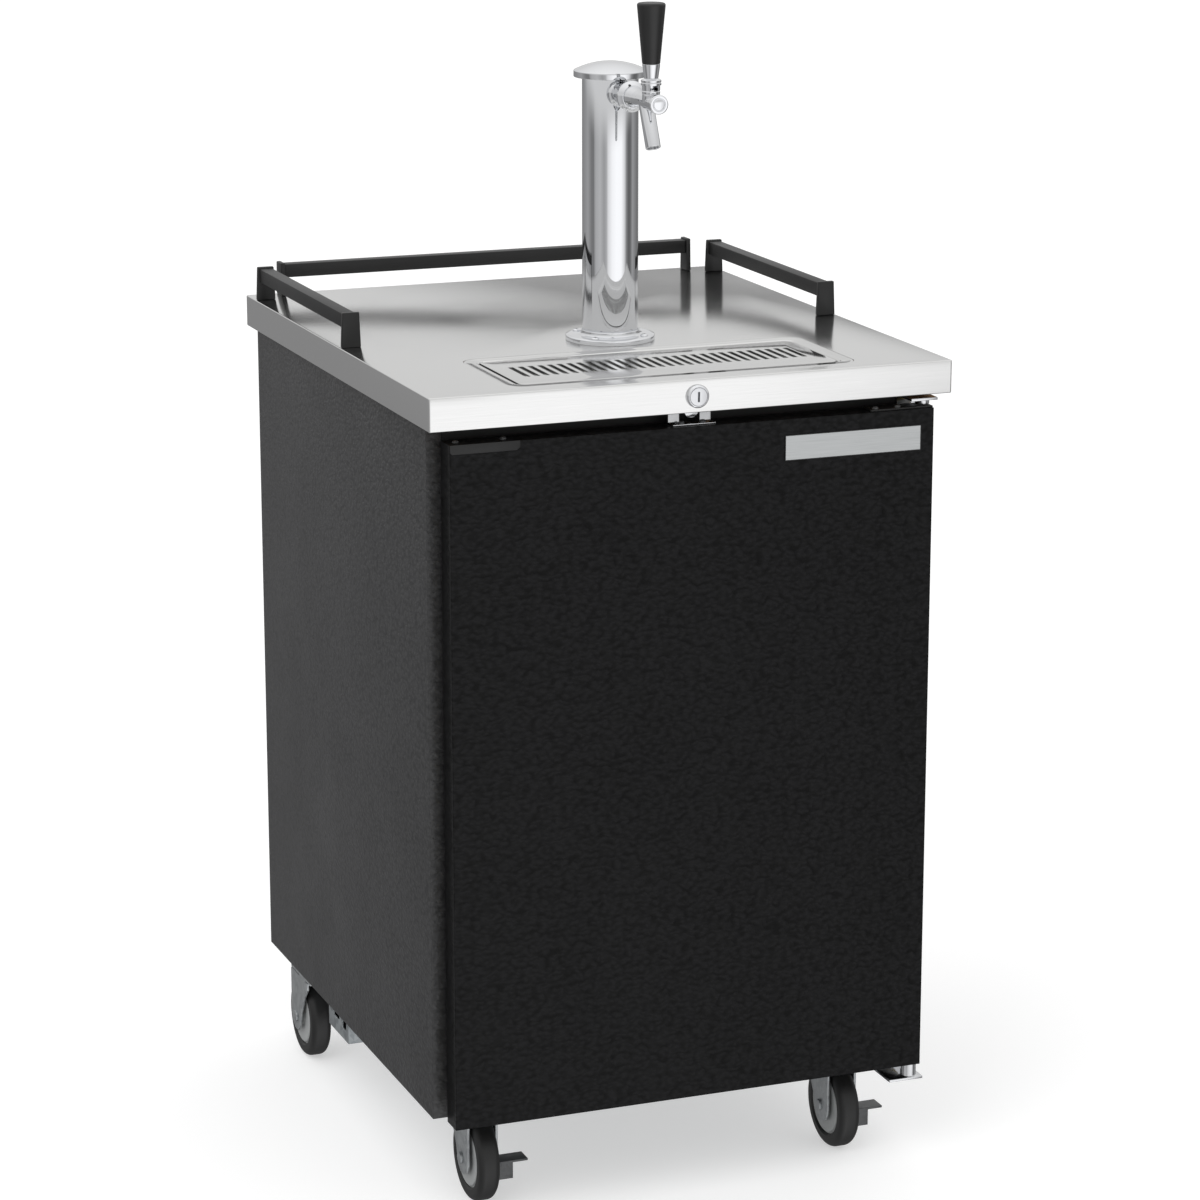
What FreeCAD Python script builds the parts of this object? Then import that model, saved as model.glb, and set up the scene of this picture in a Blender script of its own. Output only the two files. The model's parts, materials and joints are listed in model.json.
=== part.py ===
"""Single-faucet kegerator: one refrigerated cabinet on casters, worktop, drip tray and draft tower.

Frame: X to the right, -Y to the front (door side), +Z up. The origin is on the floor, at the
centre of the bounding box seen from above. Millimetres.
"""
import FreeCAD, Part
import math
import os
from types import SimpleNamespace

import Sketcher

# Driving dimensions, all in millimetres. Every sub-part is built from these through the sheet.
SIZES = {
    # Worktop slab: a folded stainless top over a core board.
    "worktop_width": 610.0,
    "worktop_front": 343.0,
    "worktop_back": 348.0,
    "worktop_top": 941.0,
    "worktop_thick": 37.0,
    "sheet": 1.5,
    # Cabinet.
    "body_half": 295.0,
    "body_front": 300.5,
    "body_back": 337.0,
    "body_bottom": 116.0,
    "skin": 1.2,
    "wall": 50.0,
    "liner": 1.0,
    "face_thick": 2.5,
    "machine_depth": 138.0,
    "flange": 18.0,
    # Door.
    "door_half": 283.0,
    "door_front": 345.0,
    "door_thick": 30.0,
    "door_bottom": 117.0,
    "door_top": 889.0,
    "hinge_x": 275.0,
    "hinge_y": 330.0,
    "pin_radius": 4.0,
    "running_gap": 0.06,
    # Drip tray and grate.
    "tray_half": 190.0,
    "tray_front": 303.0,
    "tray_back": 161.0,
    "tray_rim": 14.0,
    "tray_depth": 23.0,
    "slot_pitch": 11.3,
    "slot_width": 6.0,
    "slot_length": 57.0,
    "drain_x": 60.0,
    "drain_radius": 7.5,
    # Draft tower.
    "tower_y": 84.0,
    "column_radius": 31.75,
    "column_wall": 1.5,
    "column_top": 1238.5,
    "flange_radius": 50.8,
    "passage_radius": 30.0,
    # Faucet, measured from the tower axis forwards and from the shank axis upwards.
    "faucet_z": 1223.0,
    "shank_radius": 11.1,
    "lever_reach": 122.4,
    "pivot_rise": 11.0,
    "spout_radius": 8.4,
    "spout_bore": 6.6,
    "spout_throat": 5.0,
    "spout_length": 54.2,
    "mouth_length": 20.0,
    "spout_tilt": 24.6,
    # Gallery rails.
    "rail_x": 292.0,
    "rail_front": 34.0,
    "rail_back": 310.0,
    "back_rail_y": 334.0,
    "back_rail_half": 267.5,
    "post_height": 40.0,
    "post_thick": 5.6,
    "rail_bar": 16.0,
    # Lock.
    "lock_z": 922.0,
    # Casters.
    "wheel_radius": 50.8,
    "wheel_half": 12.5,
    "hub_radius": 35.0,
    "trail": 28.0,
    "front_caster_y": 238.0,
    "rear_caster_y": 210.0,
}

doc = FreeCAD.newDocument("kegerator")
sheet = doc.addObject("Spreadsheet::Sheet", "Sizes")
parts = []


class Size:
    """A length that carries its value and the sheet formula it comes from."""

    def __init__(self, value, formula):
        self.value = value
        self.formula = formula

    def combine(self, other, sign, swap=False):
        value, formula = (other.value, other.formula) if isinstance(other, Size) else (other, repr(other))
        a, b = (value, self.value) if swap else (self.value, value)
        text_a, text_b = (formula, self.formula) if swap else (self.formula, formula)
        result = {"+": a + b, "-": a - b, "*": a * b, "/": a / b if b else 0.0}[sign]
        return Size(result, "(" + text_a + " " + sign + " " + text_b + ")")

    def __add__(self, other):
        return self.combine(other, "+")

    def __radd__(self, other):
        return self.combine(other, "+", swap=True)

    def __sub__(self, other):
        return self.combine(other, "-")

    def __rsub__(self, other):
        return self.combine(other, "-", swap=True)

    def __mul__(self, other):
        return self.combine(other, "*")

    def __rmul__(self, other):
        return self.combine(other, "*", swap=True)

    def __truediv__(self, other):
        return self.combine(other, "/")

    def __neg__(self):
        return Size(0.0, "0").combine(self, "-")


def fill_sheet():
    """Put the driving dimensions in the sheet and hand them back as Size values."""
    lengths = SimpleNamespace()
    for row, (name, value) in enumerate(SIZES.items(), start=1):
        sheet.set("A" + str(row), name)
        sheet.set("B" + str(row), str(value))
        sheet.setAlias("B" + str(row), name)
        setattr(lengths, name, Size(value, "Sizes." + name))
    doc.recompute()
    return lengths


D = fill_sheet()


def value_of(length):
    return length.value if isinstance(length, Size) else float(length)


def bind(obj, prop, length):
    """Set a property, through the sheet where the length comes from it."""
    if isinstance(length, Size):
        obj.setExpression(prop, length.formula)
    else:
        setattr(obj, prop, length)


TURNS = {
    "z": FreeCAD.Rotation(),
    "x": FreeCAD.Rotation(FreeCAD.Vector(0, 1, 0), 90),
    "-y": FreeCAD.Rotation(FreeCAD.Vector(1, 0, 0), 90),
    "y": FreeCAD.Rotation(FreeCAD.Vector(1, 0, 0), -90),
    "-z": FreeCAD.Rotation(FreeCAD.Vector(1, 0, 0), 180),
}


def place(obj, at, turn=None):
    """Place an object, with each coordinate bound to the sheet where it comes from it."""
    turn = turn or FreeCAD.Rotation()
    obj.Placement = FreeCAD.Placement(FreeCAD.Vector(*[value_of(c) for c in at]), turn)
    for axis, coordinate in zip("xyz", at):
        if isinstance(coordinate, Size):
            obj.setExpression("Placement.Base." + axis, coordinate.formula)


def block(x, y, z, name="Block"):
    """A box given by its two limits along each axis."""
    box = doc.addObject("Part::Box", name)
    for prop, (low, high) in (("Length", x), ("Width", y), ("Height", z)):
        bind(box, prop, high - low)
    place(box, (x[0], y[0], z[0]))
    return box


def rod(radius, length, at, along="z", name="Rod"):
    """A cylinder that starts at a point and runs along an axis."""
    cylinder = doc.addObject("Part::Cylinder", name)
    bind(cylinder, "Radius", radius)
    bind(cylinder, "Height", length)
    turn = TURNS[along] if isinstance(along, str) else along
    place(cylinder, at, turn)
    return cylinder


def ball(radius, at, name="Ball"):
    sphere = doc.addObject("Part::Sphere", name)
    bind(sphere, "Radius", radius)
    place(sphere, at)
    return sphere


def elbow(bend, radius, at, turn):
    """A quarter of a torus: the bend of a round tube."""
    torus = doc.addObject("Part::Torus", "Elbow")
    bind(torus, "Radius1", bend)
    bind(torus, "Radius2", radius)
    torus.Angle3 = 90
    place(torus, at, turn)
    return torus


def join(*shapes):
    fused = doc.addObject("Part::MultiFuse", "Joined")
    fused.Shapes = list(shapes)
    fused.Refine = True
    return fused


def cut(base, *tools):
    result = doc.addObject("Part::Cut", "Cut")
    result.Base = base
    result.Tool = join(*tools) if len(tools) > 1 else tools[0]
    return result


def common(base, tool):
    result = doc.addObject("Part::Common", "Common")
    result.Base = base
    result.Tool = tool
    return result


def group(*shapes):
    """Separate solids that share one node."""
    compound = doc.addObject("Part::Compound", "Group")
    compound.Links = list(shapes)
    return compound


def part(node, obj):
    """Name a finished sub-part; its label is its file's name."""
    obj.Label = node
    parts.append(obj)
    return obj


def sketch(body, role, points):
    """A closed outline of straight runs on one of the body's own planes, each corner bound to the sheet."""
    outline = body.newObject("Sketcher::SketchObject", "Outline")
    outline.AttachmentSupport = [([f for f in body.Origin.OriginFeatures if f.Role == role][0], "")]
    outline.MapMode = "FlatFace"
    corners = [FreeCAD.Vector(value_of(u), value_of(v), 0) for u, v in points]
    count = len(points)
    for i in range(count):
        outline.addGeometry(Part.LineSegment(corners[i], corners[(i + 1) % count]), False)
    for i in range(count):
        outline.addConstraint(Sketcher.Constraint("Coincident", i, 2, (i + 1) % count, 1))
    for i, corner in enumerate(points):
        for kind, length in zip(("DistanceX", "DistanceY"), corner):
            index = outline.addConstraint(Sketcher.Constraint(kind, -1, 1, i, 1, value_of(length)))
            if isinstance(length, Size):
                outline.setExpression("Constraints[" + str(index) + "]", length.formula)
    return outline


def turned(points, at, along="z", name="Turned"):
    """A lathe-turned piece: an outline of (radius, height) corners revolved about its own axis."""
    body = doc.addObject("PartDesign::Body", name)
    outline = sketch(body, "XZ_Plane", points)
    feature = body.newObject("PartDesign::Revolution", "Revolution")
    feature.Profile = outline
    feature.ReferenceAxis = (outline, ["V_Axis"])
    feature.Angle = 360
    turn = TURNS[along] if isinstance(along, str) else along
    place(body, at, turn)
    return body


def extruded(role, points, length, at=(0, 0, 0), name="Extruded"):
    """A flat outline padded by a length. XY pads up, XZ pads forwards, YZ pads to the right."""
    body = doc.addObject("PartDesign::Body", name)
    outline = sketch(body, role, points)
    feature = body.newObject("PartDesign::Pad", "Pad")
    feature.Profile = outline
    bind(feature, "Length", length)
    place(body, at)
    return body


def round_edges(body, radius, keep):
    """Fillet the edges of a body that the test keeps."""
    doc.recompute()
    base = body.Tip
    names = ["Edge" + str(i + 1) for i, edge in enumerate(base.Shape.Edges) if keep(edge)]
    fillet = body.newObject("PartDesign::Fillet", "Fillet")
    fillet.Base = (base, names)
    fillet.Radius = radius
    return body


def circle_radius(edge):
    return edge.Curve.Radius if isinstance(edge.Curve, Part.Circle) else 0.0


# Shared places, worked out from the driving dimensions.
body_top = D.worktop_top - D.worktop_thick
inner_half = D.body_half - D.wall
liner_back = D.body_back - D.machine_depth - D.wall + D.liner
floor_z = D.body_bottom + D.wall
ceiling_z = body_top - D.wall
bulkhead_y = D.body_back - D.machine_depth
tray_floor = D.worktop_top - D.tray_depth
drain_y = -(D.tray_front + D.tray_back) / 2
drain_z = body_top - 30.0
drain_drop_y = bulkhead_y + 46.0
drain_bend = 20.0
suction_x = -100.0
suction_z = ceiling_z - 38.0
suction_radius = 4.8


def cabinet():
    """Outer skins, foam, liner and the frame round the door opening."""
    front, back = -D.body_front, D.body_back
    panels = []
    for sign in (-1, 1):
        outline = [
            (sign * D.body_half, front),
            (sign * (D.body_half - D.flange), front),
            (sign * (D.body_half - D.flange), front + D.skin),
            (sign * (D.body_half - D.skin), front + D.skin),
            (sign * (D.body_half - D.skin), back),
            (sign * D.body_half, back),
        ]
        panels.append(extruded("XY_Plane", outline, body_top - D.body_bottom, (0, 0, D.body_bottom)))
    part("side_panels", group(*panels))

    inside = D.body_half - D.skin
    frame_half = D.body_half - D.flange - 0.2
    opening = block((-inner_half, inner_half), (front - 1, front + 10), (floor_z, ceiling_z))
    frame_z = (D.body_bottom + D.skin + 0.2, body_top - 0.2)
    frame = block((-frame_half, frame_half), (front, front + D.face_thick), frame_z)
    part("face_frame", cut(frame, opening))

    # One foamed-in-place body fills the walls, floor and ceiling round the liner.
    foam_z = (D.body_bottom + D.skin, body_top)
    foam = block((-inside, inside), (front + D.face_thick, bulkhead_y - D.skin), foam_z)
    shell_half = inner_half + D.liner
    hollow = block((-shell_half, shell_half), (front, liner_back), (floor_z - D.liner, ceiling_z + D.liner))
    passage = rod(D.passage_radius, D.wall + 10, (0, -D.tower_y, ceiling_z - 5))
    drain_run = rod(D.drain_radius + 0.5, bulkhead_y - drain_y + 10, (D.drain_x, drain_y, drain_z), "y")
    drain_inlet = rod(D.drain_radius + 1.2, body_top - drain_z + 20, (D.drain_x, drain_y, drain_z - 10))
    drain_corner = ball(D.drain_radius + 14, (D.drain_x, drain_y + 8, drain_z + 2))
    suction_hole = rod(suction_radius + 0.5, D.wall + 20, (suction_x, liner_back - 10, suction_z), "y")
    foam_cuts = (hollow, passage, drain_run, drain_inlet, drain_corner, suction_hole)
    part("cabinet_foam", cut(foam, *foam_cuts))

    # The liner is five flat sheets that meet edge to edge.
    depth = (front + D.face_thick, liner_back - D.liner)
    upright = (floor_z - D.liner, ceiling_z + D.liner)
    ceiling = block((-inner_half, inner_half), depth, (ceiling_z, upright[1]))
    rear = block((-shell_half, shell_half), (depth[1], liner_back), upright)
    suction_bore = rod(suction_radius + 0.5, 20, (suction_x, liner_back - 10, suction_z), "y")
    sheets = [
        block((-shell_half, -inner_half), depth, upright),
        block((inner_half, shell_half), depth, upright),
        block((-inner_half, inner_half), depth, (upright[0], floor_z)),
        cut(ceiling, rod(D.passage_radius, 20, (0, -D.tower_y, ceiling_z - 10))),
        cut(rear, suction_bore),
    ]
    part("inner_liner", group(*sheets))

    # Galvanised pan: the cabinet's bottom, with the upright wall in front of the machine compartment.
    bottom = block((-inside, inside), (front + D.skin, back - D.skin), (D.body_bottom, foam_z[0]))
    bulkhead = block((-inside, inside), (bulkhead_y - D.skin, bulkhead_y), (D.body_bottom, body_top))
    bulkhead_drain = rod(D.drain_radius + 0.5, 20, (D.drain_x, bulkhead_y - 10, drain_z), "y")
    bulkhead_suction = rod(suction_radius + 0.5, 20, (suction_x, bulkhead_y - 10, suction_z), "y")
    part("chassis_pan", cut(join(bottom, bulkhead), bulkhead_drain, bulkhead_suction))


def rear_grille():
    """Louvred steel cover over the machine compartment, with a window for the power inlet."""
    inside = D.body_half - D.skin
    plate = block((-inside, inside), (D.body_back - D.skin, D.body_back), (D.body_bottom + D.skin, body_top))
    through = (D.body_back - 10, D.body_back + 10)
    slots = []
    for column in (-1, 1):
        for row in range(14):
            low = D.body_bottom + 150 + row * 22
            centre = column * D.body_half / 2
            slots.append(block((centre - 95, centre + 95), through, (low, low + 9)))
    window = block((-262, -208), through, (155, 193))
    part("rear_grille", cut(plate, window, *slots))


def base_channel():
    """Galvanised cross channel under the cabinet, open upwards, with notched ends."""
    half, front, back, low = 291.0, 26.0, 104.0, 88.0
    outer = block((-half, half), (front, back), (low, D.body_bottom))
    inner = block((2 - half, half - 2), (front + 2, back - 2), (low + 2, D.body_bottom + 5))
    notches = [
        block((-half - 5, half + 5), (front + 9, front + 24), (low + 13, D.body_bottom + 5)),
        block((-half - 5, half + 5), (front + 36, front + 58), (low + 18, D.body_bottom + 5)),
    ]
    part("base_channel", cut(outer, inner, *notches))


def worktop():
    """Folded stainless top, its core board and the drip tray that drops into it."""
    half = D.worktop_width / 2
    front, back = -D.worktop_front, D.worktop_back
    corner = 2.0
    plan = [(-half, front), (half, front), (half, back), (-half, back)]
    slab = extruded("XY_Plane", plan, D.worktop_thick, (0, 0, body_top))
    round_edges(slab, corner, lambda e: abs(e.tangentAt(e.FirstParameter).z) > 0.9)
    round_edges(slab, 1.2, lambda e: e.BoundBox.ZMin > D.worktop_thick.value - 0.01)
    hollow = block(
        (D.sheet - half, half - D.sheet),
        (front + D.sheet, back - D.sheet),
        (body_top - 5, D.worktop_top - D.sheet),
    )
    rim = D.tray_rim + 0.3
    tray_cut = block(
        (-D.tray_half - rim, D.tray_half + rim),
        (-D.tray_front - rim, -D.tray_back + rim),
        (D.worktop_top - 10, D.worktop_top + 10),
    )
    passage = rod(D.passage_radius, 20, (0, -D.tower_y, D.worktop_top - 10))
    lock_hole = rod(9.6, 10, (0, front - 2, D.lock_z), "y")
    part("worktop_shell", cut(slab, hollow, tray_cut, passage, lock_hole))

    # The core is five boards round the tray's basin, butted edge to edge.
    gap = D.sheet + 0.1
    basin_half = D.tray_half + 0.3
    basin_y = (-D.tray_front - 0.3, 0.3 - D.tray_back)
    core_z = (body_top, D.worktop_top - D.sheet)
    core_passage = rod(D.passage_radius, D.worktop_thick + 20, (0, -D.tower_y, body_top - 10))
    spigot_hole = rod(9.0, D.worktop_thick, (D.drain_x, drain_y, body_top - 10))
    lock_space = block((-29, 29), (front, front + 22), (body_top - 5, D.worktop_top))
    front_board = block((gap - half, half - gap), (front + gap, basin_y[0]), core_z)
    back_board = block((gap - half, half - gap), (basin_y[1], back - gap), core_z)
    under_board = block((-basin_half, basin_half), basin_y, (body_top, tray_floor - 0.3))
    boards = [
        cut(front_board, lock_space),
        cut(back_board, core_passage),
        cut(under_board, spigot_hole),
        block((gap - half, -basin_half), basin_y, core_z),
        block((basin_half, half - gap), basin_y, core_z),
    ]
    part("worktop_core", group(*boards))

    rim_z = (D.worktop_top - D.sheet, D.worktop_top - 0.1)
    rim_plate = block(
        (-D.tray_half - D.tray_rim, D.tray_half + D.tray_rim),
        (-D.tray_front - D.tray_rim, D.tray_rim - D.tray_back),
        rim_z,
    )
    bowl = block((-D.tray_half, D.tray_half), (-D.tray_front, -D.tray_back), (tray_floor, rim_z[1]))
    bowl_space = block(
        (D.skin - D.tray_half, D.tray_half - D.skin),
        (D.skin - D.tray_front, -D.tray_back - D.skin),
        (tray_floor + D.skin, D.worktop_top + 5),
    )
    spigot = rod(8.0, 21, (D.drain_x, drain_y, tray_floor - 21))
    spigot_bore = rod(6.0, 40, (D.drain_x, drain_y, tray_floor - 30))
    part("drip_tray", cut(join(rim_plate, bowl, spigot), bowl_space, spigot_bore))


def drain_tube():
    """Drain from the tray's spigot, back through the ceiling foam and down the machine compartment."""
    top = tray_floor - 21
    x, outer, inner = D.drain_x, D.drain_radius, D.drain_radius - 2.5
    # Each bend is centred where the tangents of its two straight runs meet.
    first_at = (x, drain_y + drain_bend, drain_z + drain_bend)
    second_at = (x, drain_drop_y - drain_bend, drain_z - drain_bend)
    runs = []
    for radius in (outer, inner):
        down = rod(radius, top - drain_z - drain_bend, (x, drain_y, drain_z + drain_bend))
        length = drain_drop_y - drain_y - 2 * drain_bend
        along = rod(radius, length, (x, drain_y + drain_bend, drain_z), "y")
        drop = rod(radius, drain_z - drain_bend - 150, (x, drain_drop_y, 150))
        first = elbow(drain_bend, radius, first_at, Y_BEND["low_front"])
        second = elbow(drain_bend, radius, second_at, Y_BEND["high_back"])
        runs.append(join(down, along, drop, first, second))
    part("drain_tube", cut(runs[0], runs[1]))


def bend_turn(start, normal):
    """Rotation that puts a torus quarter's start direction on one axis and its normal on another."""
    x_axis = FreeCAD.Vector(*start)
    z_axis = FreeCAD.Vector(*normal)
    y_axis = z_axis.cross(x_axis)
    return FreeCAD.Rotation(x_axis, y_axis, z_axis, "ZXY")


# Quarter bends in the YZ plane, named by the corner of the circle that they cover.
Y_BEND = {
    "low_front": bend_turn((0, -1, 0), (1, 0, 0)),
    "low_back": bend_turn((0, 0, -1), (1, 0, 0)),
    "high_back": bend_turn((0, 1, 0), (1, 0, 0)),
    "high_front": bend_turn((0, 0, 1), (1, 0, 0)),
}


def drip_grate():
    """Slotted stainless plate that stands in the tray on two folded feet."""
    side_gap, thick = 2.5, 1.5
    half = D.tray_half - D.skin - side_gap
    front, back = side_gap + D.skin - D.tray_front, -D.tray_back - D.skin - side_gap
    top = D.worktop_top - 1.0
    plate = block((-half, half), (front, back), (top - thick, top))
    foot_z = (tray_floor + D.skin + 0.05, top - 0.5)
    feet = [
        block((-half, thick - half), (front, back), foot_z),
        block((half - thick, half), (front, back), foot_z),
    ]
    slots = []
    count = 30
    middle = (front + back) / 2
    for i in range(count):
        centre = (i - (count - 1) / 2) * D.slot_pitch
        slots.append(
            block(
                (centre - D.slot_width / 2, centre + D.slot_width / 2),
                (middle - D.slot_length / 2, middle + D.slot_length / 2),
                (top - 5, top + 5),
            )
        )
    part("drip_grate", cut(join(plate, *feet), *slots))


def tower():
    """Column, flange, cap, inner sleeve and flange screws of the draft tower."""
    top = D.worktop_top
    flange = turned(
        [
            (D.column_radius + 0.05, 0),
            (D.flange_radius, 0),
            (D.flange_radius, 4.6),
            (D.flange_radius - 1.2, 6.0),
            (D.column_radius + 4, 6.0),
            (D.column_radius + 1.4, 7.4),
            (D.column_radius + 1.4, 12.0),
            (D.column_radius + 0.05, 12.0),
        ],
        (0, -D.tower_y, top),
    )
    holes = []
    screws = []
    screw_circle = 42.0
    for i in range(4):
        angle = math.radians(45 + 90 * i)
        x, y = screw_circle * math.cos(angle), screw_circle * math.sin(angle) - D.tower_y
        holes.append(rod(2.6, 20, (x, y, top - 5)))
        crown = [(0, 0), (4.6, 0), (4.6, 1.2), (3.4, 2.4), (0, 2.8)]
        head = turned(crown, (x, y, top + 6.0), name="ScrewHead")
        screws.append(join(head, rod(2.4, 26, (x, y, top - 20))))
    part("tower_flange", cut(flange, *holes))
    part("tower_screws", group(*screws))

    height = D.column_top - top
    tube = rod(D.column_radius, height, (0, -D.tower_y, top))
    bore = rod(D.column_radius - D.column_wall, height + 20, (0, -D.tower_y, top - 10))
    shank_hole = rod(D.shank_radius + 0.2, 60, (0, -D.tower_y, D.faucet_z), "-y")
    part("tower_column", cut(tube, bore, shank_hole))

    # The cap plugs into the column with a short ring, notched where the shank's nut sits.
    plug_radius = D.column_radius - D.column_wall - 0.2
    cap_profile = [
        (0, 0),
        (plug_radius - 3, 0),
        (plug_radius - 3, -10),
        (plug_radius, -10),
        (plug_radius, 0),
        (41.2, 0),
        (41.2, 7.0),
        (38.0, 8.6),
        (30.0, 12.0),
        (21.0, 14.8),
        (11.0, 16.7),
        (0, 17.4),
    ]
    notch = rod(14.8, 40, (0, -D.tower_y, D.faucet_z), "-y")
    part("tower_cap", cut(turned(cap_profile, (0, -D.tower_y, D.column_top)), notch))

    sleeve_low = ceiling_z - 2
    sleeve_top = D.faucet_z - 38
    sleeve = rod(D.passage_radius - 0.2, sleeve_top - sleeve_low, (0, -D.tower_y, sleeve_low))
    sleeve_bore = rod(14.0, sleeve_top - sleeve_low + 20, (0, -D.tower_y, sleeve_low - 10))
    part("tower_insulation", cut(sleeve, sleeve_bore))


def forward(distance, rise=0.0):
    """A point ahead of the tower axis, at the shank's height plus a rise."""
    return (0, -D.tower_y - distance, D.faucet_z + rise)


def beer_line():
    """Line from the keg space up the tower into the shank, with the nut that meets the keg coupler."""
    bend, outer, inner = 20.0, 4.8, 3.2
    low = ceiling_z - 60
    runs = []
    for radius in (outer, inner):
        riser = rod(radius, D.faucet_z - bend - low, (0, -D.tower_y, low))
        corner = elbow(bend, radius, (0, -D.tower_y - bend, D.faucet_z - bend), Y_BEND["high_back"])
        runs.append(join(riser, corner))
    nut_profile = [
        (outer + 0.1, 12),
        (10.4, 12),
        (10.4, 0),
        (14.5, 0),
        (14.5, 14),
        (9, 18),
        (outer + 0.1, 18),
    ]
    nut = turned(nut_profile, (0, -D.tower_y, low - 12))
    part("beer_line", group(cut(runs[0], runs[1]), nut))


def shank():
    """Threaded shank through the column wall, its outer collar and inner nut, and the faucet's nut."""
    start, end = 20.0, 66.0
    tube = cut(rod(D.shank_radius, end - start, forward(start), "-y"), rod(3.2, 80, forward(0), "-y"))

    collar = turned([(0, 0), (15.4, 0), (15.4, 9.4), (13.9, 11.0), (0, 11.0)], forward(26.0), "-y")
    column = rod(D.column_radius + 0.05, 80, forward(0, -40))
    bore = rod(D.shank_radius + 0.02, 60, forward(0), "-y")
    outer_collar = cut(collar, column, bore)

    nut = rod(14.0, 15, forward(17.0), "-y")
    inside = rod(D.column_radius - D.column_wall - 0.05, 60, (0, -D.tower_y, D.faucet_z - 30))
    nut_bore = rod(D.shank_radius + 0.02, 60, forward(0), "-y")
    inner_nut = cut(common(nut, inside), nut_bore)
    part("faucet_shank", group(tube, outer_collar, inner_nut))

    profile = [
        (D.shank_radius + 0.02, 0),
        (13.6, 0),
        (13.6, 24.0),
        (15.4, 25.4),
        (17.4, 26.4),
        (17.4, 29.4),
        (12.6, 33.4),
        (10.3, 33.4),
        (10.3, 31.8),
        (D.shank_radius + 0.02, 31.8),
    ]
    ring = turned(profile, forward(37.4), "-y")
    holes = []
    hole_floor = 11.8
    for i in range(6):
        angle = 60 * i + 30
        sideways = hole_floor * math.sin(math.radians(angle))
        rise = hole_floor * math.cos(math.radians(angle))
        at = (sideways, -D.tower_y - 49.4, D.faucet_z + rise)
        holes.append(rod(1.9, 8, at, FreeCAD.Rotation(FreeCAD.Vector(0, 1, 0), angle)))
    part("coupling_nut", cut(ring, *holes))


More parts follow.
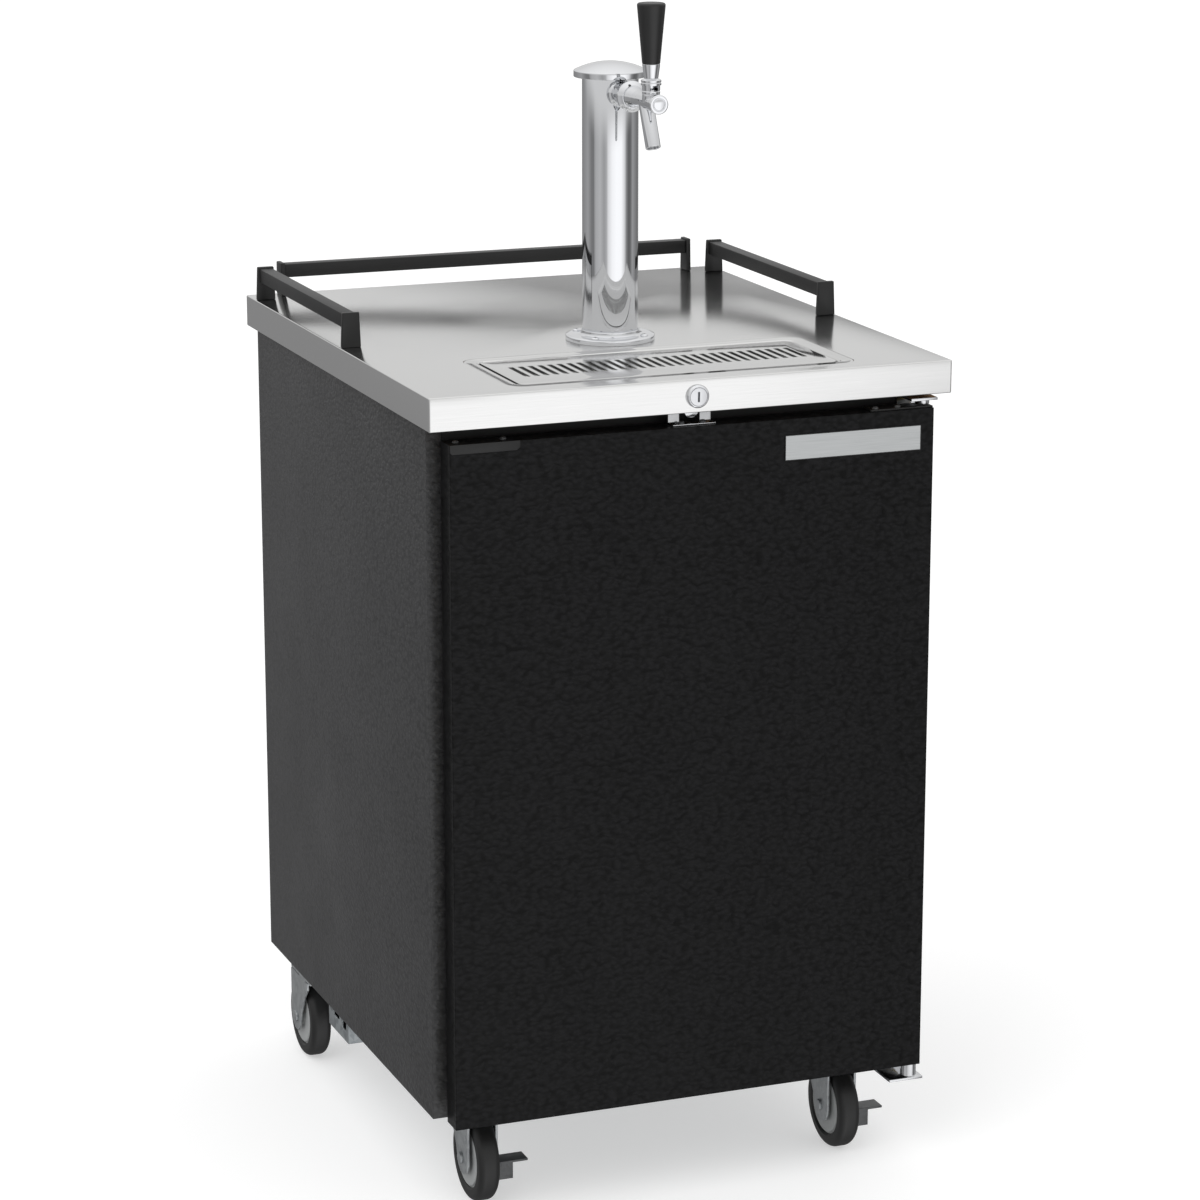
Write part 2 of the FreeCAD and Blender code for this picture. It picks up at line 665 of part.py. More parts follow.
def faucet():
    """Faucet body with spout, bonnet, front cap, lever, plunger and the tap handle."""
    reach, pivot = D.lever_reach, D.pivot_rise
    # Outside of the body: neck in the nut, cone, barrel, lever socket and tilted spout.
    barrel = turned(
        [
            (0, 0),
            (10.9, 0),
            (10.9, 3.0),
            (10.0, 3.0),
            (10.0, 5.0),
            (12.4, 5.2),
            (11.2, 10.0),
            (9.0, 26.0),
            (9.0, 60.0),
            (9.9, 70.0),
            (9.9, 74.4),
            (0, 74.4),
        ],
        forward(66.0),
        "-y",
    )
    socket = rod(9.8, 9.6, forward(reach))
    tilt = FreeCAD.Rotation(FreeCAD.Vector(1, 0, 0), 180 - D.spout_tilt.value)
    spout_start = reach - 15.5
    spout = rod(D.spout_radius, D.spout_length, forward(spout_start), tilt)
    # The bore widens over its last stretch, where a plug fits.
    throat = rod(D.spout_throat, 80, forward(spout_start), tilt)
    lean = math.radians(D.spout_tilt.value)
    mouth_from = D.spout_length - D.mouth_length
    mouth_at = forward(spout_start + mouth_from * math.sin(lean), -mouth_from * math.cos(lean))
    mouth = rod(D.spout_bore, D.mouth_length + 10, mouth_at, tilt)
    # Inside: valve chamber, seat, main bore, and the way down from the lever socket.
    main_bore = turned(
        [(0, 0), (6.4, 0), (6.4, 12.2), (4.4, 12.2), (4.4, 15.2), (6.2, 15.2), (6.2, 90), (0, 90)],
        forward(64.0),
        "-y",
        name="Bore",
    )
    lever_well = rod(6.6, 20, forward(reach, 0))
    outside = join(barrel, socket, spout)
    shell = cut(cut(cut(outside, main_bore), lever_well), join(throat, mouth))

    cap_plug = [(0, 0), (6.1, 0), (6.1, 4.0)]
    cap_face = [(10.8, 4.0), (10.8, 9.6), (9.9, 10.6), (6.6, 10.6), (6.2, 10.1), (0, 10.1)]
    cap = turned(cap_plug + cap_face, forward(136.4), "-y")
    guide = rod(3.0 + D.running_gap, 9.6, forward(135.4), "-y")
    part("faucet_body", group(shell, cut(cap, guide)))

    # Bonnet: a nut whose domed top is centred on the lever's pivot, slotted for the lever's swing.
    bonnet = common(rod(10.0, 13.4, forward(reach, 9.6)), ball(13.3, forward(reach, pivot)))
    ball_seat = ball(6.3, forward(reach, pivot))
    low_bore = rod(6.3, 10.0, forward(reach, pivot - 10))
    swing = math.radians(25.0)
    reach_up = 16.0
    wedge_half = 4.6
    far_side = -wedge_half / math.cos(swing) - math.tan(swing) * reach_up
    wedge_plan = [(wedge_half, 0), (wedge_half, reach_up), (far_side, reach_up), (-5.1, 0)]
    wedge_at = (-wedge_half, -D.tower_y - reach, D.faucet_z + pivot)
    wedge = extruded("YZ_Plane", wedge_plan, 2 * wedge_half, wedge_at)
    part("faucet_bonnet", cut(bonnet, ball_seat, low_bore, wedge))

    # Lever: finger, ball, neck and the chromed collar that covers the bonnet.
    pin = ball(6.0, forward(reach, pivot))
    finger = join(rod(2.4, 10.0, forward(reach, pivot - 10)), ball(2.4, forward(reach, pivot - 10)))
    neck = rod(3.8, 20.0, forward(reach, pivot))
    collar = turned([(0, 0), (11.3, 0), (11.3, 6.6), (8.4, 8.0), (0, 8.0)], forward(reach, pivot + 7.4))
    dome = ball(13.6, forward(reach, pivot))
    lever = join(pin, finger, neck, cut(collar, dome))

    flare = [(3.85, 0), (7.9, 0), (9.7, 12.6), (9.85, 15.6), (3.85, 15.6)]
    ferrule = turned(flare, forward(reach, pivot + 15.4))
    part("faucet_lever", group(lever, ferrule))
    grip = [(0, 0), (9.9, 0), (15.7, 63.4), (15.2, 65.2), (13.9, 66.0), (0, 66.0)]
    part("tap_handle", turned(grip, forward(reach, pivot + 31.0)))

    # Plunger: guided in the cap, slotted for the lever's finger, with its washer behind the seat.
    shaft = rod(3.0, 70.1, forward(74.4), "-y")
    slot_block = rod(5.8, 12.0, forward(reach - 6), "-y")
    washer = rod(5.7, 3.6, forward(72.5), "-y")
    slot_y = (-D.tower_y - reach - 2.9, -D.tower_y - reach + 2.9)
    slot = block((-7, 7), slot_y, (D.faucet_z - 2.8, D.faucet_z + 10))
    # The slot widens upwards, where the lever's finger leans, and a flat clears the lever's ball.
    relief_y = (-D.tower_y - reach - 4.7, -D.tower_y - reach + 4.7)
    relief = block((-7, 7), relief_y, (D.faucet_z + 2.0, D.faucet_z + 10))
    flat_y = (-D.tower_y - reach - 7, -D.tower_y - reach + 7)
    flat = block((-7, 7), flat_y, (D.faucet_z + 4.8, D.faucet_z + 10))
    part("faucet_plunger", cut(join(shaft, slot_block, washer), slot, relief, flat))


def gallery():
    """Low guard rails on the worktop: tapered posts with square bars between them."""
    top = D.worktop_top
    base_half, top_half = 11.5, 9.9
    bar_z = (top + D.post_height - 2 - D.rail_bar, top + D.post_height - 2)
    outline = [(-base_half, 0), (base_half, 0), (top_half, D.post_height), (-top_half, D.post_height)]
    posts = []
    for sign in (-1, 1):
        # XZ outlines pad towards -Y, so each post is placed at its back face.
        post_x = sign * D.rail_x
        posts.append(extruded("XZ_Plane", outline, D.post_thick, (post_x, D.post_thick - D.rail_front, top)))
        posts.append(extruded("XZ_Plane", outline, D.post_thick, (post_x, D.rail_back, top)))
    for start in (-D.back_rail_half, D.back_rail_half - D.post_thick):
        posts.append(extruded("YZ_Plane", outline, D.post_thick, (start, D.back_rail_y, top)))
    part("gallery_posts", group(*posts))

    half_bar = D.rail_bar / 2
    span_y = (D.post_thick - D.rail_front, D.rail_back - D.post_thick)
    span_x = (D.post_thick - D.back_rail_half, D.back_rail_half - D.post_thick)
    bars = [block(span_x, (D.back_rail_y - half_bar, D.back_rail_y + half_bar), bar_z)]
    for sign in (-1, 1):
        centre = sign * D.rail_x
        bars.append(block((centre - half_bar, centre + half_bar), span_y, bar_z))
    part("gallery_bars", group(*bars))


def door():
    """Foamed door: outer skin, core, inner liner, magnetic gasket and its trim."""
    front, back = -D.door_front, D.door_thick - D.door_front
    half, low, high = D.door_half, D.door_bottom, D.door_top
    pin_gap = D.pin_radius + D.running_gap

    def pin_bores(extra):
        return [
            rod(pin_gap + extra, 34, (D.hinge_x, -D.hinge_y, low - 2)),
            rod(pin_gap + extra, 34, (D.hinge_x, -D.hinge_y, high - 30)),
        ]

    plan = [(-half, front), (half, front), (half, back), (-half, back)]
    slab = extruded("XY_Plane", plan, high - low, (0, 0, low))
    round_edges(slab, 1.5, lambda e: e.BoundBox.YMax < -D.door_front.value + 0.01)
    hollow = block((D.skin - half, half - D.skin), (front + D.skin, back + 5), (low + D.skin, high - D.skin))
    part("door_skin", cut(slab, hollow, *pin_bores(0)))

    gap = D.skin + 0.05
    core = block((gap - half, half - gap), (front + gap, back), (low + gap, high - gap))
    part("door_core", cut(core, *pin_bores(0)))

    panel = block((-half + 3, half - 3), (back, back + 2.5), (low + 3, high - 3))
    dyke_half = inner_half - 11
    dyke = block((-dyke_half, dyke_half), (back + 2.5, back + 20), (floor_z + 12, ceiling_z - 12))
    part("door_liner", join(panel, dyke))

    gasket_half = D.body_half - D.flange - 9
    gasket_z = (D.body_bottom + 20, body_top - 26)
    ring = block((-gasket_half, gasket_half), (back + 2.5, -D.body_front - 0.6), gasket_z)
    lip = 14.0
    window_z = (gasket_z[0] + lip, gasket_z[1] - lip)
    window = block((lip - gasket_half, gasket_half - lip), (back, -D.body_front + 5), window_z)
    part("door_gasket", cut(ring, window))

    strip = extruded(
        "XZ_Plane",
        [(-283, 889.4), (-283, 881), (-280.5, 879), (-208, 879), (-204, 882), (-204, 889.4)],
        0.8,
        (0, front, 0),
    )
    part("pull_strip", strip)
    part("badge_plate", block((103, 267), (front - 1.0, front), (843.0, 871.5)))

    leaf = block((208, half), (-D.hinge_y - 11, -D.hinge_y + 11), (high, high + 2))
    part("door_hinge_leaf", cut(leaf, rod(pin_gap, 10, (D.hinge_x, -D.hinge_y, high - 2))))

    # Strike on the door's top edge: two upright tabs with a gap that the unlocked tongue passes.
    strike_half, gap_half, lug = 25.0, 12.0, 1.5
    base = block((-strike_half, strike_half), (-336, -319.5), (high, high + lug))
    upright = block((-strike_half, strike_half), (-319.5 - lug, -319.5), (high, body_top - 1.5))
    notch = block((-gap_half, gap_half), (-330, -310), (high + lug, body_top + 5))
    part("latch_bracket", cut(join(base, upright), notch))

    screws = []
    for x, y, seat in (
        (215.6, -335.0, 2.0),
        (242.6, -335.0, 2.0),
        (-271.6, -330.0, 0.0),
        (-218.1, -330.0, 0.0),
        (-12.5, -328.5, lug),
        (12.5, -328.5, lug),
    ):
        crown = [(0, 0), (3.6, 0), (3.6, 1.0), (2.4, 2.2), (0, 2.5)]
        head = turned(crown, (x, y, high + seat), name="ScrewHead")
        screws.append(join(head, rod(2.0, 14, (x, y, high + seat - 13.5))))
    part("door_screws", group(*screws))


def hinges():
    """Fixed hinge brackets with their pins: one under the worktop, one under the cabinet."""
    top, bottom = D.door_top, D.body_bottom
    at_top = (D.hinge_x, -D.hinge_y)
    arm = block((257, 289), (-D.hinge_y - 11, -D.body_front), (top + 8, top + 11))
    leg = block((257, 289), (-D.body_front - 2.5, -D.body_front), (top - 6, top + 14))
    collar = rod(8.0, 5, (*at_top, top + 3))
    pin = rod(D.pin_radius, 30, (*at_top, top - 21))
    upper = join(arm, leg, collar, pin)

    plate = block((246, 288), (-300, -250), (bottom - 3, bottom))
    web = block((246, 288), (-300, -297), (bottom - 18, bottom))
    shelf = block((246, 288), (-D.hinge_y - 12, -297), (bottom - 18, bottom - 15))
    bearing = rod(9.0, 15.4, (*at_top, bottom - 15))
    low_pin = rod(D.pin_radius, 40, (*at_top, bottom - 15))
    lower = join(plate, web, shelf, bearing, low_pin)
    part("hinge_brackets", group(upper, lower))


def lock():
    """Key lock in the worktop's front lip: fixed barrel, and a plug that carries the two-lobed cam."""
    front = -D.worktop_front
    barrel = [
        (7.06, 16.0),
        (9.5, 16.0),
        (9.5, 0),
        (13.0, 0),
        (13.0, -2.4),
        (11.0, -5.0),
        (10.3, -5.0),
        (10.3, -2.9),
        (7.06, -2.9),
    ]
    part("lock_barrel", turned(barrel, (0, front, D.lock_z), "y"))

    plug = [(0, -5.0), (9.8, -5.0), (10.2, -4.6), (10.2, -3.0), (7.0, -3.0), (7.0, 16.2), (0, 16.2)]
    head = turned(plug, (0, front, D.lock_z), "y")
    keyway = block((-1.1, 1.1), (front - 6, front + 2), (D.lock_z - 5.5, D.lock_z + 5.5))
    cam_y = (front + 16.2, front + 19.2)
    cam_reach = 26.6
    disc = rod(cam_reach, 3.0, (0, cam_y[0], D.lock_z), "y")
    tongue = join(
        block((-8.6, 8.6), cam_y, (D.lock_z - 18, D.lock_z)),
        rod(8.6, 3.0, (0, cam_y[0], D.lock_z - 18), "y"),
    )
    bolt = common(disc, block((0, 30), cam_y, (D.lock_z - 16.5, D.lock_z + 16.5)))
    part("lock_plug", join(cut(head, keyway), tongue, bolt))


def blade_ring(hub_radius, hub_length, tip_radius, blades, at, along):
    """Fan rotor: a hub with flat blades pitched about their own radial axes."""
    turn = TURNS[along]
    centre = FreeCAD.Vector(*[value_of(c) for c in at])
    pieces = [rod(hub_radius, hub_length, at, along)]
    chord, thick, pitch = tip_radius * 0.5, 1.4, 30
    for i in range(blades):
        blade = doc.addObject("Part::Box", "Blade")
        blade.Length = tip_radius - hub_radius + 2
        blade.Width = chord
        blade.Height = thick
        local = FreeCAD.Placement(FreeCAD.Vector(hub_radius - 2, 0, hub_length / 2), FreeCAD.Rotation())
        tilt = FreeCAD.Placement(FreeCAD.Vector(0, 0, 0), FreeCAD.Rotation(FreeCAD.Vector(1, 0, 0), pitch))
        middle = FreeCAD.Placement(FreeCAD.Vector(0, -chord / 2, -thick / 2), FreeCAD.Rotation())
        about_axis = FreeCAD.Rotation(FreeCAD.Vector(0, 0, 1), 360 / blades * i)
        spin = FreeCAD.Placement(FreeCAD.Vector(0, 0, 0), about_axis)
        blade.Placement = FreeCAD.Placement(centre, turn) * spin * local * tilt * middle
        pieces.append(blade)
    return join(*pieces)


def evaporator():
    """Cold side in the cabinet: housing, coil, fan and the temperature dial."""
    low, high = ceiling_z - 78, ceiling_z - 0.2
    front, back = liner_back - 61, liner_back - D.liner - 0.2
    half, thick = 200.0, 1.5
    fan_x, dial_x, fan_z = 120.0, -172.0, ceiling_z - 39
    box = block((-half, half), (front, back), (low, high))
    inside = block((thick - half, half - thick), (front + thick, back + 5), (low + thick, high - thick))
    mouth = rod(37.0, 20, (fan_x, front - 10, fan_z), "y")
    dial_hole = rod(3.0 + D.running_gap, 20, (dial_x, front - 10, fan_z), "y")
    louvres = []
    for i in range(6):
        louvre_z = low + 12 + 9 * i
        louvres.append(block((-140, 40), (front - 5, front + 5), (louvre_z, louvre_z + 4)))
    part("evaporator_housing", cut(box, inside, mouth, dial_hole, *louvres))

    fins = []
    for i in range(27):
        fin_x = 9 * i - 180
        fins.append(block((fin_x, fin_x + 1.5), (front + 14, back - 2), (low + 8, high - 8)))
    tubes = [rod(4.0, 250, (-188, front + 26, low + 18 + 20 * i), "x") for i in range(3)]
    tail = rod(suction_radius, 34, (suction_x, back - 22, suction_z), "y")
    part("evaporator_coil", join(*fins, *tubes, tail))

    part("evaporator_fan", blade_ring(11.0, 12.0, 34.0, 5, (fan_x, front + 4, fan_z), "y"))
    grip = [(0, -14), (12.4, -14), (13.6, -12.6), (15.0, -1.0), (15.0, -0.4)]
    stem = [(3.0, -0.4), (3.0, 6.0), (0, 6.0)]
    knob = turned(grip + stem, (dial_x, front, fan_z), "y")
    pointer = block((dial_x - 1, dial_x + 1), (front - 14.6, front - 10), (fan_z, fan_z + 12.5))
    part("thermostat_knob", join(knob, pointer))
    return rod(16.0, 22.0, (fan_x, front + 18, fan_z), "y")


def condenser():
    """Hot side behind the bulkhead: compressor, coil, fan, motor, tubing and the electrical box."""
    floor = D.body_bottom + D.skin
    middle = bulkhead_y + 68
    pot = [(0, 8), (40, 8), (56, 16), (60, 26), (60, 92), (62, 93), (62, 97), (60, 98)]
    dome = [(60, 140), (54, 152), (38, 160), (0, 164)]
    shell = turned(pot + dome, (-60, middle, floor))
    feet = []
    for dx in (-48, 48):
        for dy in (-40, 40):
            feet.append(rod(9.0, 26.0, (-60 + dx, middle + dy, floor)))
    part("compressor", join(shell, *feet))

    coil_y, coil_low, coil_top = (bulkhead_y + 12, bulkhead_y + 124), floor + 6, floor + 216
    coil = [
        block((200, 252), (coil_y[0], coil_y[0] + 2), (floor, coil_top)),
        block((200, 252), (coil_y[1] - 2, coil_y[1]), (floor, coil_top)),
    ]
    for i in range(30):
        fin_z = coil_low + 7 * i
        coil.append(block((203, 249), (coil_y[0] + 1, coil_y[1] - 1), (fin_z, fin_z + 1)))
    for column in range(3):
        for row in range(3):
            at = (212 + 14 * column, coil_y[0] + 20 + 36 * row, coil_low)
            coil.append(rod(4.0, coil_top - coil_low - 4, at))
    part("condenser_coil", join(*coil))

    fan_z = floor + 110
    part("condenser_fan", blade_ring(14.0, 14.0, 50.0, 5, (172, middle, fan_z), "x"))
    motor = rod(24.0, 44.0, (118, middle, fan_z), "x")
    stalk = block((130, 144), (middle - 5, middle + 5), (floor, fan_z - 20))

    # Discharge line: compressor top, over, and down into the coil.
    bend, radius, x_low, x_high = 22.0, 3.2, -44.0, 226.0
    over_z, start_z = floor + 262, floor + 160
    half_turn = FreeCAD.Rotation(FreeCAD.Vector(1, 0, 0), 90)
    line = [
        rod(radius, over_z - bend - start_z, (x_low, middle, start_z)),
        rod(radius, x_high - x_low - 2 * bend, (x_low + bend, middle, over_z), "x"),
        rod(radius, over_z - bend - floor - 208, (x_high, middle, floor + 208)),
        elbow(bend, radius, (x_low + bend, middle, over_z - bend), bend_turn((0, 0, 1), (0, -1, 0))),
        elbow(bend, radius, (x_high - bend, middle, over_z - bend), half_turn),
    ]
    # Suction line: from the evaporator's tail down to the compressor.
    suction_y = middle + 4
    suction = [
        rod(suction_radius, suction_y - bend - liner_back - 12, (suction_x, liner_back + 12, suction_z), "y"),
        elbow(bend, suction_radius, (suction_x, suction_y - bend, suction_z - bend), Y_BEND["high_back"]),
        rod(suction_radius, suction_z - bend - floor - 150, (suction_x, suction_y, floor + 150)),
    ]
    part("refrigerant_lines", group(join(*line), join(*suction)))

    box = block((-285, -150), (bulkhead_y + 8, bulkhead_y + 108), (floor, floor + 110))
    box_space = block((-283, -152), (bulkhead_y + 10, bulkhead_y + 106), (floor + 2, floor + 108))
    case = cut(box, box_space)
    inlet_z = 174.0
    socket = block((-259, -211), (bulkhead_y + 108, D.body_back), (inlet_z - 14, inlet_z + 14))
    mouth = block((-248, -222), (D.body_back - 17, D.body_back + 5), (inlet_z - 9, inlet_z + 9))
    pin_y = (D.body_back - 18, D.body_back - 3)
    pins = []
    for pin_x in (-242, -235, -228):
        pins.append(block((pin_x - 2, pin_x + 2), pin_y, (inlet_z - 1, inlet_z + 1)))
    part("electrical_box", group(case, join(cut(socket, mouth), *pins)))
    return join(motor, stalk)


def caster(corner, x, swivel_y, toward, braked):
    """One swivel caster. The wheel trails from the swivel towards +Y or -Y (toward = 1 or -1)."""

    def trail(distance):
        return swivel_y + toward * distance

    axle_y, axle_z = trail(D.trail), D.wheel_radius
    leg_in, leg_out = 15.5, 18.0
    crown_low, crown_top = 105.5, 108.0
    leading = [(-18, crown_top), (-18, 99), (-4, 84), (10, 60), (16, 40)]
    trailing = [(24, 33), (36, 33), (46, 38), (50, 48), (50, crown_top)]
    outline = [(toward * t, z) for t, z in leading + trailing]
    legs = []
    for low_x in (x - leg_out, x + leg_in):
        legs.append(extruded("YZ_Plane", outline, leg_out - leg_in, (low_x, swivel_y, 0)))
    span = sorted((toward * -18, toward * 50))
    crown_y = (swivel_y + span[0], swivel_y + span[1])
    crown = block((x - leg_out, x + leg_out), crown_y, (crown_low, crown_top))
    dish = rod(19.0, 2.4, (x, swivel_y, crown_top))
    king_hole = rod(5.05, 20, (x, swivel_y, 98))
    stub = [rod(3.0, 8.0, (x + leg_out - 1, trail(8.0), 66.0), "x")] if braked else []
    fork = cut(join(*legs, crown, dish, *stub), king_hole)
    axle = join(
        rod(4.0, 42.0, (x - 21.0, axle_y, axle_z), "x"),
        rod(6.8, 3.0, (x - leg_out - 3.0, axle_y, axle_z), "x"),
        rod(6.8, 3.0, (x + leg_out, axle_y, axle_z), "x"),
    )
    axle_hole = rod(4.0, 60.0, (x - 30, axle_y, axle_z), "x")
    part("caster_fork_" + corner, group(cut(fork, axle_hole), axle))

    half = D.wheel_half
    tyre = turned(
        [
            (D.hub_radius, 1 - half),
            (D.wheel_radius - 9, -half),
            (D.wheel_radius, -half),
            (D.wheel_radius, half),
            (D.wheel_radius - 9, half),
            (D.hub_radius, half - 1),
        ],
        (x, axle_y, axle_z),
        "x",
        name="Tyre",
    )
    round_edges(tyre, 7.0, lambda e: circle_radius(e) > D.wheel_radius.value - 0.1)
    hub_side = [(4.06, 1.6), (9, 1.6), (12, -1.5), (30, -0.5), (D.hub_radius, -2)]
    near_side = [(radius, half + proud) for radius, proud in reversed(hub_side)]
    far_side = [(radius, -half - proud) for radius, proud in hub_side]
    hub = turned(far_side + near_side, (x, axle_y, axle_z), "x", name="Hub")
    part("caster_wheel_" + corner, group(tyre, hub))

    if braked:
        arm_x = (x + 22.5, x + 24.7)
        arm_outline = [(-4, 72), (-4, 82), (18, 82), (18, 60), (34, 46)]
        arm_outline += [(36, 30), (22, 30), (14, 42), (2, 58)]
        arm_points = [(toward * t, z) for t, z in arm_outline]
        arm = extruded("YZ_Plane", arm_points, 2.2, (arm_x[0], swivel_y, 0))
        upper = sorted((toward * -4, toward * 16))
        lower = sorted((toward * 14, toward * 36))
        lip = sorted((toward * 33.6, toward * 36))
        tabs = [
            block((arm_x[0], x + 42), (swivel_y + upper[0], swivel_y + upper[1]), (79.6, 82)),
            block((arm_x[0], x + 59), (swivel_y + lower[0], swivel_y + lower[1]), (39, 41.4)),
            block((arm_x[0], x + 41), (swivel_y + lip[0], swivel_y + lip[1]), (20, 41.4)),
        ]
        hole = rod(3.0 + D.running_gap, 10, (arm_x[0] - 3, trail(8.0), 66.0), "x")
        part("brake_lever_" + corner, cut(join(arm, *tabs), hole))

    # Fixed half: top plate, upper raceway and the kingpin with its nut.
    plate_in = 24.0 if corner.startswith("rear") else 30.0
    limits = sorted((x - math.copysign(20.5 if plate_in < 30 else 30.0, -x), x + math.copysign(plate_in, -x)))
    plate = block(limits, (swivel_y - 40, swivel_y + 40), (D.body_bottom - 3, D.body_bottom))
    race = rod(21.0, 2.3, (x, swivel_y, D.body_bottom - 5.2))
    kingpin = rod(5.0, 14, (x, swivel_y, D.body_bottom - 16))
    nut = rod(8.5, 4.5, (x, swivel_y, 100.6))
    return join(plate, race, kingpin, nut)


def casters():
    fixed = [
        caster("front_left", -232.5, -D.front_caster_y, -1, True),
        caster("front_right", 210.5, -D.front_caster_y, -1, True),
        caster("rear_left", -274.0, D.rear_caster_y, 1, False),
        caster("rear_right", 274.0, D.rear_caster_y, 1, False),
    ]
    part("caster_plates", group(*fixed))


def build():
    cabinet()
    rear_grille()
    base_channel()
    worktop()
    drain_tube()
    drip_grate()
    tower()
    beer_line()
    shank()
    faucet()
    gallery()
    door()
    hinges()
    lock()
    motors = [evaporator(), condenser()]
    part("fan_motors", group(*motors))
    casters()


def check_and_export():
    doc.recompute()
    for obj in doc.Objects:
        if "Invalid" in obj.State or "Error" in obj.State:
            raise RuntimeError(obj.Label + " did not build: " + str(obj.State))
    for obj in parts:
        if obj.Shape.isNull() or not obj.Shape.isValid() or not obj.Shape.Solids:
            raise RuntimeError(obj.Label + " has no valid shape")
    os.makedirs("parts", exist_ok=True)
    for obj in parts:
        obj.Shape.exportStep(os.path.join("parts", obj.Label + ".step"))
    print(len(parts), "nodes")


build()
check_and_export()
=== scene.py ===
"""Looks of a single-tap kegerator: grained black cabinet, stainless worktop, chromed draft tower.

Pieces are drawn in millimetres and brought to metres when they are delivered. Their places come
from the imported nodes' boxes. +X is to the right, -Y is the door side and +Z is up.
"""
import json
from math import cos, pi, radians, sin, sqrt

import bmesh
import bpy
from mathutils import Matrix, Vector

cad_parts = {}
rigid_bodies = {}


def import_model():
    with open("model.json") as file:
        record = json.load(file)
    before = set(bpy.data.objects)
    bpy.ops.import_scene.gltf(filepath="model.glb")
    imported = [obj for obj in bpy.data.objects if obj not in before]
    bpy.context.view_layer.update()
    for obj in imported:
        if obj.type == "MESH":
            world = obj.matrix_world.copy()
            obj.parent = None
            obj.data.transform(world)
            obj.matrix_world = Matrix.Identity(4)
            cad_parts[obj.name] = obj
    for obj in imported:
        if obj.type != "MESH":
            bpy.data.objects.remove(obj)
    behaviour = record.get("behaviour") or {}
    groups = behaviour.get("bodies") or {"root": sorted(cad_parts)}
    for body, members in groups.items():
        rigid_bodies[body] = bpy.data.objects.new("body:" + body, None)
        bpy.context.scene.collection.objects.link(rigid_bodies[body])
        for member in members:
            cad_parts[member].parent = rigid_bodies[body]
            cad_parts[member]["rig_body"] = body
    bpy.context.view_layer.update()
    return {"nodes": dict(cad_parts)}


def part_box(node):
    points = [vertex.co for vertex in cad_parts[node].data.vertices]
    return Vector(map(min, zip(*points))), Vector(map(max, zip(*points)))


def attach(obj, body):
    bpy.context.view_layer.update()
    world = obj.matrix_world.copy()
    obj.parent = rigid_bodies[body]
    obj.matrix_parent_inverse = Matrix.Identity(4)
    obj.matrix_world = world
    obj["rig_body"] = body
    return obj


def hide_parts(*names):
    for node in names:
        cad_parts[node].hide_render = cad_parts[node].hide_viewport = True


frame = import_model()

MM = 0.001
NOTHING = 1e-6
BODY_OF = {name: obj["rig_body"] for name, obj in frame["nodes"].items()}


# ---------------------------------------------------------------- shader helpers

def linear(hex_colour):
    """An sRGB hex colour as the linear colour that shaders take."""
    channels = [int(hex_colour[i : i + 2], 16) / 255 for i in (1, 3, 5)]
    return (*[c / 12.92 if c <= 0.04045 else ((c + 0.055) / 1.055) ** 2.4 for c in channels], 1.0)


def add(tree, kind, sockets=None, **settings):
    """Add a shader node with its settings, and set or link its inputs."""
    made = tree.nodes.new("ShaderNode" + kind)
    for name, value in settings.items():
        setattr(made, name, value)
    for socket, value in (sockets or {}).items():
        if isinstance(value, bpy.types.NodeSocket):
            tree.links.new(value, made.inputs[socket])
        else:
            made.inputs[socket].default_value = value
    return made


def pattern(tree, kind, size, stretch=(1, 1, 1), **sockets):
    """A texture on Object coordinates whose features are about size millimetres across."""
    place = add(tree, "TexCoord")
    stretched = add(tree, "Mapping", {"Vector": place.outputs["Object"], "Scale": stretch})
    texture = add(tree, "Tex" + kind, {"Vector": stretched.outputs[0], "Scale": 1 / (size * MM)})
    for socket, value in sockets.items():
        texture.inputs[socket].default_value = value
    return texture


def ranged(tree, value, low, high, start=0.3, end=0.7):
    """Spread a pattern's middle stretch over low to high."""
    sockets = {"Value": value, "From Min": start, "From Max": end, "To Min": low, "To Max": high}
    return add(tree, "MapRange", sockets).outputs[0]


def tinted(tree, factor, dark, light):
    """A colour between two hex colours, by a factor."""
    return add(tree, "Mix", {0: factor, 6: linear(dark), 7: linear(light)}, data_type="RGBA").outputs[2]


def relief(tree, height, depth, strength=1.0):
    """A bump from a height pattern, depth millimetres deep."""
    return add(tree, "Bump", {"Height": height, "Distance": depth * MM, "Strength": strength}).outputs[0]


def material(name, build, **sockets):
    """A material whose shader takes fixed values, and patterns from build(tree)."""
    made = bpy.data.materials.new(name)
    made.use_nodes = True
    tree = made.node_tree
    tree.nodes.clear()
    shader = add(tree, "BsdfPrincipled", {key.replace("_", " "): value for key, value in sockets.items()})
    for socket, value in build(tree).items():
        tree.links.new(value, shader.inputs[socket])
    add(tree, "OutputMaterial", {"Surface": shader.outputs[0]})
    made.diffuse_color = shader.inputs["Base Color"].default_value
    return made


# ---------------------------------------------------------------- finishes

